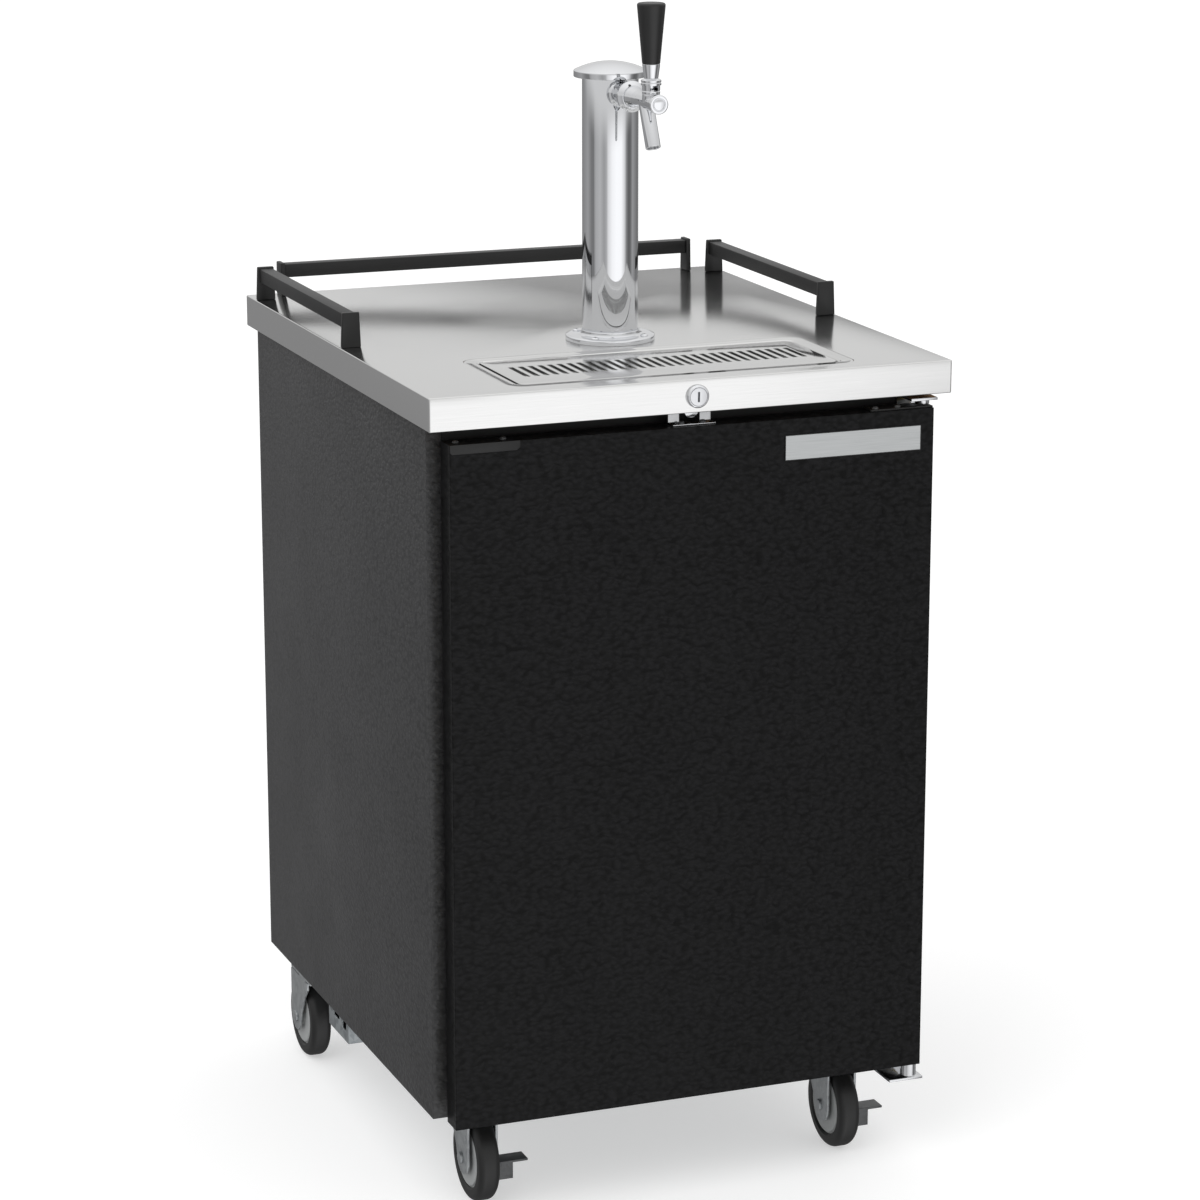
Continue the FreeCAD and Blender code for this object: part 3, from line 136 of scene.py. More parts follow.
def leather_grain(tree, dark, light, rough):
    """Embossed hide pattern: creased cells 5 mm across, with finer wrinkles between them. Its base colour is
    painted shade in the creases and a painted highlight on the pebble tops.
    """
    warp = pattern(tree, "Noise", 14.0, Detail=3.0)
    place = add(tree, "TexCoord")
    bend = (10 * MM,) * 3
    bent = add(tree, "VectorMath", {0: warp.outputs["Color"], 1: bend}, operation="MULTIPLY")
    moved = add(tree, "VectorMath", {0: place.outputs["Object"], 1: bent.outputs[0]}, operation="ADD")
    squeezed = add(tree, "Mapping", {"Vector": moved.outputs[0], "Scale": (0.7, 0.7, 1.3)})
    cells = add(
        tree, "TexVoronoi", {"Vector": squeezed.outputs[0], "Scale": 1 / (5.0 * MM)}, feature="SMOOTH_F1"
    )
    pebbles = ranged(tree, cells.outputs["Distance"], 1.0, 0.0, 0.1, 0.75)
    wrinkles = pattern(tree, "Noise", 2.4, (0.8, 0.8, 1.3), Detail=4.0, Roughness=0.6)
    half_wrinkles = add(tree, "Math", {0: wrinkles.outputs[0], 1: 0.5}, operation="MULTIPLY")
    height = add(tree, "Math", {0: pebbles, 1: half_wrinkles.outputs[0]}, operation="ADD")
    # Painted shade and highlight: the colour follows the height, darker in the creases and lighter on the
    # pebble tops.
    shade = ranged(tree, height.outputs[0], 0.0, 1.0, 0.35, 1.05)
    wear = pattern(tree, "Noise", 120.0, Detail=5.0)
    return {
        "Base Color": tinted(tree, shade, dark, light),
        "Roughness": ranged(tree, wear.outputs[0], rough - 0.05, rough + 0.05),
        "Normal": relief(tree, height.outputs[0], 0.5, 1.0),
    }


def brushed(tree, dark, light, rough, grain, along):
    """Fine parallel scratches: a noise drawn out along the brushing direction."""
    stretch = tuple(0.012 if axis == along else 1.0 for axis in range(3))
    streaks = pattern(tree, "Noise", grain, stretch, Detail=6.0, Roughness=0.7)
    clouds = pattern(tree, "Noise", 160.0, Detail=2.0)
    both = add(tree, "Math", {0: streaks.outputs[0], 1: clouds.outputs[0]}, operation="MULTIPLY")
    return {
        "Base Color": tinted(tree, ranged(tree, streaks.outputs[0], 0.0, 1.0), dark, light),
        "Roughness": ranged(tree, both.outputs[0], rough - 0.02, rough + 0.04, 0.15, 0.4),
        "Normal": relief(tree, streaks.outputs[0], 0.002, 0.5),
    }


def polish(tree, rough, haze):
    """Near-mirror polish with a faint haze that comes and goes over a few centimetres."""
    film = pattern(tree, "Noise", 35.0, Detail=4.0)
    return {"Roughness": ranged(tree, film.outputs[0], rough, rough + haze)}


def moulded(tree, dark, light, rough, texture, depth):
    """Spark-eroded mould texture: fine even pits, and a slow drift in sheen."""
    pits = pattern(tree, "Noise", texture, Detail=3.0, Roughness=0.55)
    drift = pattern(tree, "Noise", 60.0, Detail=2.0)
    return {
        "Base Color": tinted(tree, ranged(tree, drift.outputs[0], 0.0, 1.0), dark, light),
        "Roughness": ranged(tree, pits.outputs[0], rough - 0.05, rough + 0.08),
        "Normal": relief(tree, pits.outputs[0], depth, 0.6),
    }


def spangled(tree, dark, light, rough, size):
    """Crystals of a hot-dip zinc coat: flat cells with their own brightness."""
    crystals = pattern(tree, "Voronoi", size)
    shade = add(tree, "SeparateColor", {0: crystals.outputs["Color"]}).outputs[0]
    fine = pattern(tree, "Noise", 1.5, Detail=3.0)
    return {
        "Base Color": tinted(tree, shade, dark, light),
        "Roughness": ranged(tree, shade, rough - 0.08, rough + 0.08, 0.0, 1.0),
        "Normal": relief(tree, fine.outputs[0], 0.02, 0.4),
    }


def cellular(tree, dark, light, size, depth):
    """Open grain of cut foam or pressed board."""
    cells = pattern(tree, "Voronoi", size)
    patches = pattern(tree, "Noise", size * 6, Detail=4.0)
    return {
        "Base Color": tinted(tree, patches.outputs[0], dark, light),
        "Normal": relief(tree, cells.outputs["Distance"], depth, 0.8),
    }


def make_finishes():
    """Every finish of the kegerator, by the name of what it is."""
    made = {}

    def finish(name, build, *values, **sockets):
        made[name] = material(name, lambda tree: build(tree, *values), **sockets)

    # Vinyl laminated to steel and embossed as hide: nearly black, with a dull sheen on each pebble that is
    # partly its gloss and partly a highlight painted into the base colour. The side's colours are painted
    # lighter than the door's, for the light that falls on the left side.
    finish("side_vinyl_painted_lighter", leather_grain, "#1c1c1d", "#2c2c2d", 0.42, IOR=1.5)
    finish("door_vinyl_on_steel", leather_grain, "#030303", "#141415", 0.36, IOR=1.5, Specular_IOR_Level=0.11)
    # Stainless 304 with a number 4 brush: pale grey, blurred reflections drawn along the grain.
    finish("brushed_stainless_worktop", brushed, "#d6d6d5", "#dfdfde", 0.15, 0.6, 0, Metallic=1.0)
    finish("brushed_stainless_tray", brushed, "#d0d0cf", "#dbdbda", 0.1, 0.6, 0, Metallic=1.0)
    finish("brushed_aluminium_plate", brushed, "#a2a4a4", "#b6b8b8", 0.3, 0.7, 0, Metallic=1.0)
    # Bright chrome over polished brass or steel: a cool mirror with a trace of haze.
    finish("polished_chrome", polish, 0.02, 0.02, Metallic=1.0, Base_Color=linear("#dddee0"))
    finish("chromed_steel_pressing", polish, 0.12, 0.08, Metallic=1.0, Base_Color=linear("#cfd0d2"))
    # Satin powder coat on the rails: fine orange peel, soft highlights along the edges.
    finish("satin_black_powder_coat", moulded, "#080808", "#0d0d0d", 0.42, 0.9, 0.02)
    # Phenolic tap handle: dense matte black with a fine eroded texture.
    finish("phenolic_handle", moulded, "#121212", "#181818", 0.42, 0.5, 0.015)
    # Caster tread of thermoplastic rubber: charcoal, dusty sheen.
    finish("thermoplastic_rubber_tread", moulded, "#0f0f0f", "#171717", 0.5, 0.8, 0.03)
    finish("grey_polypropylene_hub", moulded, "#8b8d8d", "#949696", 0.4, 0.6, 0.01)
    # Zinc-plated pressings: soft grey, a little cloudy.
    finish("zinc_plated_steel", spangled, "#9a9d9f", "#b1b4b5", 0.42, 5.0, Metallic=0.85)
    finish("dull_steel_pedal", spangled, "#4c4d4e", "#5c5d5e", 0.45, 4.0, Metallic=0.4)
    finish("galvanised_sheet", spangled, "#7f8487", "#a3a8aa", 0.48, 9.0, Metallic=0.8)
    # Moulded plastics inside and round the machine space.
    finish("white_styrene_liner", moulded, "#dcdcd7", "#e8e8e4", 0.34, 1.4, 0.01)
    finish("black_nylon_strip", moulded, "#080808", "#0e0e0e", 0.5, 0.6, 0.02)
    finish("black_polycarbonate", moulded, "#151515", "#1e1e1e", 0.36, 0.7, 0.01)
    finish("grey_abs_dial", moulded, "#6a6d6f", "#787b7d", 0.4, 0.6, 0.01)
    finish("vinyl_gasket", moulded, "#181818", "#222222", 0.55, 0.9, 0.02)
    finish("clear_pvc_line", moulded, "#c9cdca", "#dde0dd", 0.2, 2.0, 0.005)
    # Foams and board that only show on cut edges.
    finish("polyurethane_foam", cellular, "#c9b478", "#e0cf9a", 1.2, 0.3, Roughness=0.9)
    finish("particle_board", cellular, "#6d5033", "#93714b", 2.2, 0.15, Roughness=0.8)
    # Machine space: enamelled pot, copper line, aluminium fins.
    finish("black_enamel", moulded, "#0d0d0d", "#141414", 0.25, 2.2, 0.01)
    finish("drawn_copper", polish, 0.2, 0.15, Metallic=1.0, Base_Color=linear("#c27f57"))
    finish("aluminium_fins", brushed, "#aeb1b3", "#c8cacb", 0.4, 0.8, 2, Metallic=1.0)
    return made


finishes = make_finishes()


# ---------------------------------------------------------------- mesh helpers

def limits(node):
    """Lowest and highest corner of a CAD node, in millimetres."""
    low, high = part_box(node)
    return low / MM, high / MM


TURNS = {
    "z": Matrix.Identity(4),
    "-y": Matrix.Rotation(radians(90), 4, "X"),
    "y": Matrix.Rotation(radians(-90), 4, "X"),
    "x": Matrix.Rotation(radians(90), 4, "Y"),
}


def sharp_edges(bm, angle=40):
    """Edges where two faces meet at more than an angle in degrees."""
    return [e for e in bm.edges if e.is_manifold and e.calc_face_angle(0) > radians(angle)]


def round_off(bm, parts, width, segments=3, affect="EDGES"):
    """Replace some edges or corners of a mesh by a round of a given width."""
    bmesh.ops.bevel(
        bm,
        geom=parts,
        offset=width,
        segments=segments,
        profile=0.5,
        affect=affect,
        clamp_overlap=True,
        material=-1,
    )


def lathe(profile, at, turn="z", steps=96, rounding=0.0, closed=True):
    """Spin an outline of (radius, height) corners about its axis, with its corners rounded first."""
    bm = bmesh.new()
    corners = [bm.verts.new((radius, 0, height)) for radius, height in profile]
    pairs = list(zip(corners, corners[1:]))
    if closed and not (profile[0][0] == 0 and profile[-1][0] == 0):
        pairs.append((corners[-1], corners[0]))
    for pair in pairs:
        bm.edges.new(pair)
    if rounding:
        round_off(bm, [v for v in corners if v.co.x > NOTHING], rounding, affect="VERTICES")
    bmesh.ops.spin(
        bm,
        geom=bm.verts[:] + bm.edges[:],
        cent=(0, 0, 0),
        axis=(0, 0, 1),
        angle=2 * pi,
        steps=steps,
        use_merge=True,
    )
    bmesh.ops.remove_doubles(bm, verts=bm.verts, dist=1e-3)
    bmesh.ops.recalc_face_normals(bm, faces=bm.faces)
    matrix = turn if isinstance(turn, Matrix) else TURNS[turn]
    bm.transform(Matrix.Translation(at) @ matrix)
    return bm


def slab(low, high, edge=0.0, upright=0.0):
    """A box between two corners. Its upright edges may take a larger round than the others."""
    bm = bmesh.new()
    low, high = Vector(low), Vector(high)
    size = Matrix.Diagonal((*(high - low), 1))
    bmesh.ops.create_cube(bm, size=1.0, matrix=Matrix.Translation((low + high) / 2) @ size)
    if upright:
        uprights = [e for e in bm.edges if abs((e.verts[0].co - e.verts[1].co).z) > NOTHING]
        round_off(bm, uprights, upright, segments=8)
    if edge:
        round_off(bm, sharp_edges(bm), edge)
    return bm


def rounded_plate(low, high, radius, level):
    """A flat face with rounded corners."""
    bm = bmesh.new()
    spans = [(low[0], low[1]), (high[0], low[1]), (high[0], high[1]), (low[0], high[1])]
    bm.faces.new([bm.verts.new((x, y, level)) for x, y in spans])
    corners = bm.verts[:]
    bmesh.ops.bevel(bm, geom=corners, offset=radius, segments=8, profile=0.5, affect="VERTICES", material=-1)
    return bm


def thickened(bm, depth):
    """Give a flat face a thickness downwards."""
    made = bmesh.ops.extrude_face_region(bm, geom=bm.faces[:])
    moved = [item for item in made["geom"] if isinstance(item, bmesh.types.BMVert)]
    bmesh.ops.translate(bm, verts=moved, vec=(0, 0, -depth))
    bmesh.ops.recalc_face_normals(bm, faces=bm.faces)
    return bm


def pressed(low, high, radius, section):
    """A dished sheet with rounded corners, from its section of (inset, height over the rim) points."""
    bm = bmesh.new()
    rings = []
    for inset, height in section:
        # Corners get tighter down the dish, but stay wider than an even offset would make them.
        round_by = radius - 0.66 * inset
        step_in = Vector((inset, inset, 0))
        near, far = low + step_in, high - step_in
        corners = [(far.x, far.y), (near.x, far.y), (near.x, near.y), (far.x, near.y)]
        ring = []
        for quarter, (x, y) in enumerate(corners):
            inward = Vector((-1 if x == far.x else 1, -1 if y == far.y else 1)) * round_by
            for step in range(11):
                angle = radians(90 * quarter + 9 * step)
                across = (x + inward.x + round_by * cos(angle), y + inward.y + round_by * sin(angle))
                ring.append(bm.verts.new((*across, high.z + height)))
        rings.append(ring)
    for first, second in zip(rings, rings[1:]):
        for index in range(len(first)):
            bm.faces.new([first[index - 1], first[index], second[index], second[index - 1]])
    bm.faces.new(rings[0])
    bm.faces.new(rings[-1])
    bmesh.ops.recalc_face_normals(bm, faces=bm.faces)
    return bm


def merged(*meshes):
    """Several meshes in one."""
    whole = bmesh.new()
    for bm in meshes:
        mesh = bpy.data.meshes.new("part")
        bm.to_mesh(mesh)
        bm.free()
        whole.from_mesh(mesh)
        bpy.data.meshes.remove(mesh)
    return whole


def shaped(base, *tools, operation="DIFFERENCE"):
    """Cut tools out of a mesh, or join them to it, one after another."""
    for tool in tools:
        pair = []
        for bm in (base, tool):
            mesh = bpy.data.meshes.new("part")
            bm.to_mesh(mesh)
            bm.free()
            pair.append(bpy.data.objects.new("part", mesh))
            bpy.context.scene.collection.objects.link(pair[-1])
        change = pair[0].modifiers.new("shape", "BOOLEAN")
        change.operation = operation
        change.object = pair[1]
        change.solver = "EXACT"
        result = pair[0].evaluated_get(bpy.context.evaluated_depsgraph_get()).to_mesh()
        base = bmesh.new()
        base.from_mesh(result)
        for obj in pair:
            bpy.data.meshes.remove(obj.data)
    return base


def with_cross(head, centre, reach, half):
    """Cut a cross recess in a screw's head."""
    deep = Vector((0, 0, 1.5))
    bars = []
    for arm in (Vector((reach, half, 0)), Vector((half, reach, 0))):
        bars.append(slab(centre - arm, centre + arm + deep))
    return shaped(head, *bars)


def softened(node, edge=0.0):
    """A node's own shape as one welded mesh, with its sharp edges broken by a small round."""
    bm = bmesh.new()
    bm.from_mesh(frame["nodes"][node].data)
    bm.transform(Matrix.Scale(1 / MM, 4))
    bmesh.ops.remove_doubles(bm, verts=bm.verts, dist=0.002)
    bmesh.ops.dissolve_limit(bm, angle_limit=radians(0.5), verts=bm.verts, edges=bm.edges)
    if edge:
        round_off(bm, sharp_edges(bm, 35), edge, segments=2)
    return bm


def deliver(name, bm, finish, *nodes, beside=None, sharp=35):
    """Turn a finished mesh into a piece in metres that stands for its nodes, or goes beside one."""
    bm.transform(Matrix.Scale(MM, 4))
    mesh = bpy.data.meshes.new(name)
    bm.to_mesh(mesh)
    bm.free()
    mesh.shade_smooth()
    mesh.set_sharp_from_angle(angle=radians(sharp))
    mesh.materials.append(finishes[finish])
    piece = bpy.data.objects.new(name, mesh)
    bpy.context.scene.collection.objects.link(piece)
    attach(piece, BODY_OF[beside or nodes[0]])
    if nodes:
        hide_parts(*nodes)
    return piece


# ---------------------------------------------------------------- draft tower

def tower():
    """Chromed column, its screwed flange and its domed cap."""
    low, high = limits("tower_column")
    radius = (high.x - low.x) / 2
    centre = Vector((0, (low.y + high.y) / 2, 0))
    top, foot = high.z, low.z
    flange_radius, collar_radius = 50.8, radius + 1.5
    screw_circle, screw_rise = 42, 6.2
    tube = [(radius - 1.5, foot), (radius, foot), (radius, top), (radius - 1.5, top)]
    deliver("tower_tube", lathe(tube, centre, steps=160, rounding=0.3), "polished_chrome", "tower_column")

    ring = [
        (radius + 0.05, 0),
        (flange_radius, 0),
        (flange_radius, 5.4),
        (47.5, 6.4),
        (radius + 5.5, 6.4),
        (radius + 2.2, 7.4),
        (collar_radius, 9.4),
        (collar_radius, 12.0),
        (radius + 0.05, 12.0),
    ]
    flange = lathe(ring, centre + Vector((0, 0, foot)), steps=160, rounding=0.8)
    deliver("tower_foot", flange, "polished_chrome", "tower_flange")

    heads = []
    for quarter in range(4):
        angle = radians(45 + 90 * quarter)
        at = centre + Vector((screw_circle * cos(angle), screw_circle * sin(angle), foot + screw_rise))
        head = lathe([(0, -2), (4.6, -2), (4.6, 0.9), (3.3, 2.1), (0, 2.6)], at, steps=32, rounding=0.4)
        heads.append(with_cross(head, at + Vector((0, 0, 1.6)), 2.6, 0.55))
    deliver("tower_foot_screws", merged(*heads), "polished_chrome", "tower_screws", sharp=25)

    rim, dome_foot, dome_rise = 41.2, 40.4, 9.6
    ball = (dome_foot**2 + dome_rise**2) / (2 * dome_rise)
    dome, dome_steps = [], 12
    for step in range(dome_steps + 1):
        across = dome_foot * (1 - step / dome_steps)
        dome.append((across, 7.6 + sqrt(ball**2 - across**2) - (ball - dome_rise)))
    outline = [(0, 0), (rim, 0), (rim, 7.2)] + dome
    cap = lathe(outline, centre + Vector((0, 0, top)), steps=160, closed=False)
    round_off(cap, sharp_edges(cap), 0.7)
    deliver("tower_lid", cap, "polished_chrome", "tower_cap", sharp=30)


# ---------------------------------------------------------------- faucet

def faucet():
    """Chromed beer faucet: shank collar, coupling nut, body with spout, bonnet, lever and handle."""
    low, high = limits("tower_column")
    axis_y = (low.y + high.y) / 2
    nut_low, nut_high = limits("coupling_nut")
    height = (nut_low.z + nut_high.z) / 2

    def ahead(distance, rise=0.0):
        return Vector((0, axis_y - distance, height + rise))

    behind = ahead(26)
    shank = lathe([(3.2, 0), (11.1, 0), (11.1, 40), (3.2, 40)], behind, "-y", rounding=0.3)
    collar_outline = [(11.1, 0), (15.4, 0), (15.4, 8.6), (12.6, 11.0), (11.1, 11.0)]
    collar = lathe(collar_outline, behind, "-y", rounding=0.7)
    deliver("shank_and_collar", merged(shank, collar), "polished_chrome", "faucet_shank")

    nut_outline = [
        (11.12, 0),
        (13.6, 0),
        (13.6, 22.5),
        (14.6, 25.4),
        (17.4, 26.0),
        (17.4, 29.4),
        (12.6, 33.4),
        (10.3, 33.4),
        (10.3, 31.8),
        (11.12, 31.8),
    ]
    nut = lathe(nut_outline, ahead(37.4), "-y", steps=120, rounding=0.45)
    hole_outline, hole_foot = [(0, 0), (1.9, 0), (1.9, 6), (0, 6)], Vector((0, 0, 11.8))
    holes = []
    for sixth in range(6):
        turn = Matrix.Rotation(radians(60 * sixth + 30), 4, "Y")
        holes.append(lathe(hole_outline, ahead(49.4) + turn @ hole_foot, turn, steps=20))
    deliver("coupling_nut_chromed", shaped(nut, *holes), "polished_chrome", "coupling_nut")

    back, reach, front = 66, 122.4, 140.2
    pivot, spout_top = ahead(reach), ahead(reach - 15.5)
    barrel_outline = [
        (10.9, back),
        (10.9, 69),
        (10.0, 69),
        (10.0, 71),
        (12.2, 71.4),
        (11.0, 76),
        (9.4, 86),
        (9.0, 96),
        (9.0, 124),
        (9.9, 136),
        (9.9, front),
        (0, front),
        (0, back),
    ]
    outline = [(radius, distance - back) for radius, distance in barrel_outline]
    barrel = lathe(outline, ahead(back), "-y", rounding=0.5)
    socket = lathe([(0, 0), (9.8, 0), (9.8, 9.6), (0, 9.6)], pivot, rounding=0.4)
    tilt = Matrix.Rotation(radians(180 - 24.6), 4, "X")
    spout_outline = [(0, 0), (8.4, 0), (8.4, 54.2), (6.6, 54.2), (6.6, 34.2), (0, 34.2)]
    spout = lathe(spout_outline, spout_top, tilt, rounding=0.5)
    throat = lathe([(0, 0), (5, 0), (5, 40), (0, 40)], spout_top, tilt)
    outside = shaped(barrel, socket, spout, operation="UNION")
    # Inside is the chamber for the plunger, and the well that the lever's finger swings in.
    chamber_outline = [(0, -2), (6.4, -2), (6.4, 10), (4.4, 10), (4.4, 13), (6.2, 13), (6.2, 90), (0, 90)]
    chamber = lathe(chamber_outline, ahead(back), "-y")
    well = lathe([(0, 0), (6.6, 0), (6.6, 20), (0, 20)], pivot)
    body = shaped(outside, chamber, well, throat)
    cap_outline = [(0, 0), (10.8, 0), (10.8, 5.6), (9.7, 6.6), (7.4, 6.6), (7.0, 5.7)]
    cap_outline += [(6.4, 5.7), (6.0, 6.5), (0, 6.9)]
    cap = lathe(cap_outline, ahead(140.4), "-y", rounding=0.35)
    deliver("faucet_body_with_cap", merged(body, cap), "polished_chrome", "faucet_body", sharp=30)

    bonnet_outline = [(0, 9.6), (10.0, 9.6), (10.0, 12.2), (9.4, 12.8), (10.0, 13.4), (10.0, 19.6)]
    bonnet_outline += [(8.6, 21.2), (0, 23.4)]
    slot = slab(pivot + Vector((-4.6, -11, 12.5)), pivot + Vector((4.6, 4.6, 30)))
    bonnet = shaped(lathe(bonnet_outline, pivot, rounding=0.3), slot)
    deliver("bonnet_nut", bonnet, "polished_chrome", "faucet_bonnet", sharp=30)

    # Lever, turned about the pivot: ball and finger inside, then the collar and the flared ferrule.
    finger = lathe([(0, -2.4), (1.7, -1.7), (2.4, 0), (2.4, 9), (0, 9)], ahead(reach, 1.0), steps=32)
    ball_centre, ball_radius, ball_steps = ahead(reach, 11.0), 6, 16
    turns = [pi * step / ball_steps for step in range(ball_steps + 1)]
    half_circle = [(ball_radius * sin(turn), -ball_radius * cos(turn)) for turn in turns]
    ball = lathe(half_circle, ball_centre, closed=False)
    neck = lathe([(0, 0), (3.8, 0), (3.8, 20), (0, 20)], ball_centre, steps=48)
    skirt_outline = [
        (3.8, 26.4),
        (8.0, 26.4),
        (8.4, 25.9),
        (11.3, 24.6),
        (11.3, 22.6),
        (10.6, 22.0),
        (11.3, 21.4),
        (11.3, 18.9),
        (9.8, 20.6),
        (7.6, 22.6),
        (3.8, 24.2),
    ]
    skirt = lathe(skirt_outline, pivot, rounding=0.25)
    ferrule_outline = [(3.85, 26.4), (7.9, 26.4), (9.7, 39.0), (9.85, 42.0), (3.85, 42.0)]
    ferrule = lathe(ferrule_outline, pivot, rounding=0.4)
    lever = merged(finger, ball, neck, skirt, ferrule)
    deliver("lever_and_ferrule", lever, "polished_chrome", "faucet_lever", sharp=30)

    low, high = limits("tap_handle")
    tall = high.z - low.z
    grip = [(0, 0), (9.9, 0), (15.7, tall - 2.6), (15.3, tall - 1.0), (13.8, tall), (0, tall)]
    handle = lathe(grip, Vector((0, pivot.y, low.z)), steps=128, rounding=0.9)
    deliver("black_tap_handle", handle, "phenolic_handle", "tap_handle")


# ---------------------------------------------------------------- worktop, tray and rails

def worktop():
    """Brushed top with its rounded tray cut-out, the pressed tray and the slotted grate."""
    low, high = limits("worktop_shell")
    column_low, column_high = limits("tower_column")
    tower_y = (column_low.y + column_high.y) / 2
    tray_low, tray_high = limits("drip_tray")
    lock_low, lock_high = limits("lock_barrel")
    lock_z = (lock_low.z + lock_high.z) / 2

    sheet = 1.5
    top = slab(low, high, edge=1.3, upright=2.2)
    under_low, under_high = Vector((sheet, sheet, -5)), Vector((sheet, sheet, sheet))
    under = slab(low + under_low, high - under_high)
    tray_corner = 20
    gap = Vector((0.4, 0.4, 0))
    seat = thickened(rounded_plate(tray_low - gap, tray_high + gap, tray_corner, high.z + 5), 15)
    passage = lathe([(0, -10), (30, -10), (30, 10), (0, 10)], Vector((0, tower_y, high.z)))
    lock_hole = lathe([(0, -5), (9.6, -5), (9.6, 5), (0, 5)], Vector((0, low.y, lock_z)), "y")
    shell = shaped(top, under, seat, passage, lock_hole)
    deliver("worktop_sheet", shell, "brushed_stainless_worktop", "worktop_shell", sharp=30)

    # Pressed tray: underside from the floor out to the rim, then the top back in to the floor.
    underside = [(18.0, -22.9), (15.6, -22.6), (14.6, -22.0), (14.0, -20.5), (14.0, -4.0)]
    underside += [(13.6, -2.6), (12.6, -1.7), (11.4, -1.4), (0.3, -1.4), (0.0, -1.1)]
    upper = [(0.0, -0.4), (0.4, 0.0), (2.6, 0.0), (3.2, -0.35), (11.4, -0.35), (13.0, -0.6)]
    upper += [(14.2, -1.3), (15.0, -2.4), (15.2, -4.0), (15.2, -19.6), (15.6, -20.9)]
    upper += [(16.6, -21.5), (18.0, -21.7)]
    tray = pressed(tray_low, tray_high, tray_corner, underside + upper)
    grate_low, grate_high = limits("drip_grate")
    middle = (grate_low.y + grate_high.y) / 2
    spigot_x, bore = 60.0, 6
    drain = lathe([(0, -40), (bore, -40), (bore, 5), (0, 5)], Vector((spigot_x, middle, high.z - 20)))
    tube = lathe([(bore, 0), (8, 0), (8, 21), (bore, 21)], Vector((spigot_x, middle, tray_low.z)))
    basin = merged(shaped(tray, drain), tube)
    deliver("pressed_tray", basin, "brushed_stainless_tray", "drip_tray", sharp=30)

    low, high = grate_low, grate_high
    plate = thickened(rounded_plate(low, high, 8, high.z), sheet)
    round_off(plate, sharp_edges(plate), 0.4)
    count, pitch, half_width, half_length = 30, 11.3, 3.0, 28.5
    slots = []
    for index in range(count):
        x = (index - (count - 1) / 2) * pitch
        corners = (x - half_width, middle - half_length), (x + half_width, middle + half_length)
        slots.append(thickened(rounded_plate(*corners, 1.2, high.z + 3), 8))
    plate = shaped(plate, merged(*slots))
    feet = [
        slab((low.x + 0.2, low.y + 8, low.z), (low.x + 1.7, high.y - 8, high.z - 1.2)),
        slab((high.x - 1.7, low.y + 8, low.z), (high.x - 0.2, high.y - 8, high.z - 1.2)),
    ]
    deliver("slotted_grate", merged(plate, *feet), "brushed_stainless_tray", "drip_grate", sharp=30)


def rails():
    """Satin black gallery: tapered posts with crisp bars between them."""
    deliver("rail_posts", softened("gallery_posts", 1.1), "satin_black_powder_coat", "gallery_posts")
    deliver("rail_bars", softened("gallery_bars", 0.7), "satin_black_powder_coat", "gallery_bars")


# ---------------------------------------------------------------- lock

def lock():
    """Bright ring, plug face with its keyway, and the cam behind the lip."""
    low, high = limits("lock_barrel")
    centre = Vector((0, low.y + 5, (low.z + high.z) / 2))
    ring = [
        (7.06, 16.0),
        (9.5, 16.0),
        (9.5, 0),
        (13.0, 0),
        (13.0, -2.2),
        (12.2, -3.9),
        (11.0, -5.0),
        (10.3, -5.0),
        (10.3, -2.9),
        (7.06, -2.9),
    ]
    deliver("lock_ring", lathe(ring, centre, "y", rounding=0.35), "polished_chrome", "lock_barrel")

    deliver("lock_plug_and_cam", softened("lock_plug", 0.3), "chromed_steel_pressing", "lock_plug")


# ---------------------------------------------------------------- casters

def casters():
    """Four swivel casters: rounded tread, flat hub disc, pressed fork and two brake pedals."""
    for corner in ("front_left", "front_right", "rear_left", "rear_right"):
        low, high = limits("caster_wheel_" + corner)
        centre = (low + high) / 2
        radius = (high.z - low.z) / 2
        half, shoulder, hub_edge = 12.5, 8, 35.4
        tread = [(hub_edge, 2 - half), (37.5, -half), (radius - shoulder, -half)]
        angles = [radians(90 * step / 8) for step in range(1, 8)]
        for angle in angles:
            out, across = radius - shoulder + shoulder * sin(angle), shoulder * (1 - cos(angle))
            tread.append((out, across - half))
        tread += [(radius, shoulder - half), (radius, half - shoulder)]
        for angle in reversed(angles):
            out, across = radius - shoulder + shoulder * sin(angle), shoulder * (1 - cos(angle))
            tread.append((out, half - across))
        tread += [(radius - shoulder, half), (37.5, half), (hub_edge, half - 2)]
        wheel = "caster_wheel_" + corner
        deliver("tread_" + corner, lathe(tread, centre, "x"), "thermoplastic_rubber_tread", wheel)
        side = [(4.1, 1.6), (9, 1.6), (10, 0.6), (11.5, -1.2), (14, -1.4)]
        side += [(31.5, -0.5), (33.0, -1.2), (33.6, -3.0), (hub_edge, -3.2)]
        face = [(r, half + proud) for r, proud in reversed(side)]
        back = [(r, -half - proud) for r, proud in side]
        hub = lathe(back + face, centre, "x", rounding=0.25)
        deliver("hub_" + corner, hub, "grey_polypropylene_hub", beside=wheel)
        fork = softened("caster_fork_" + corner, 0.7)
        deliver("fork_" + corner, fork, "zinc_plated_steel", "caster_fork_" + corner)
    for corner in ("front_left", "front_right"):
        pedal = softened("brake_lever_" + corner, 0.6)
        deliver("pedal_" + corner, pedal, "dull_steel_pedal", "brake_lever_" + corner)
    deliver("top_plates", softened("caster_plates", 0.4), "zinc_plated_steel", "caster_plates")


# ---------------------------------------------------------------- cabinet and door

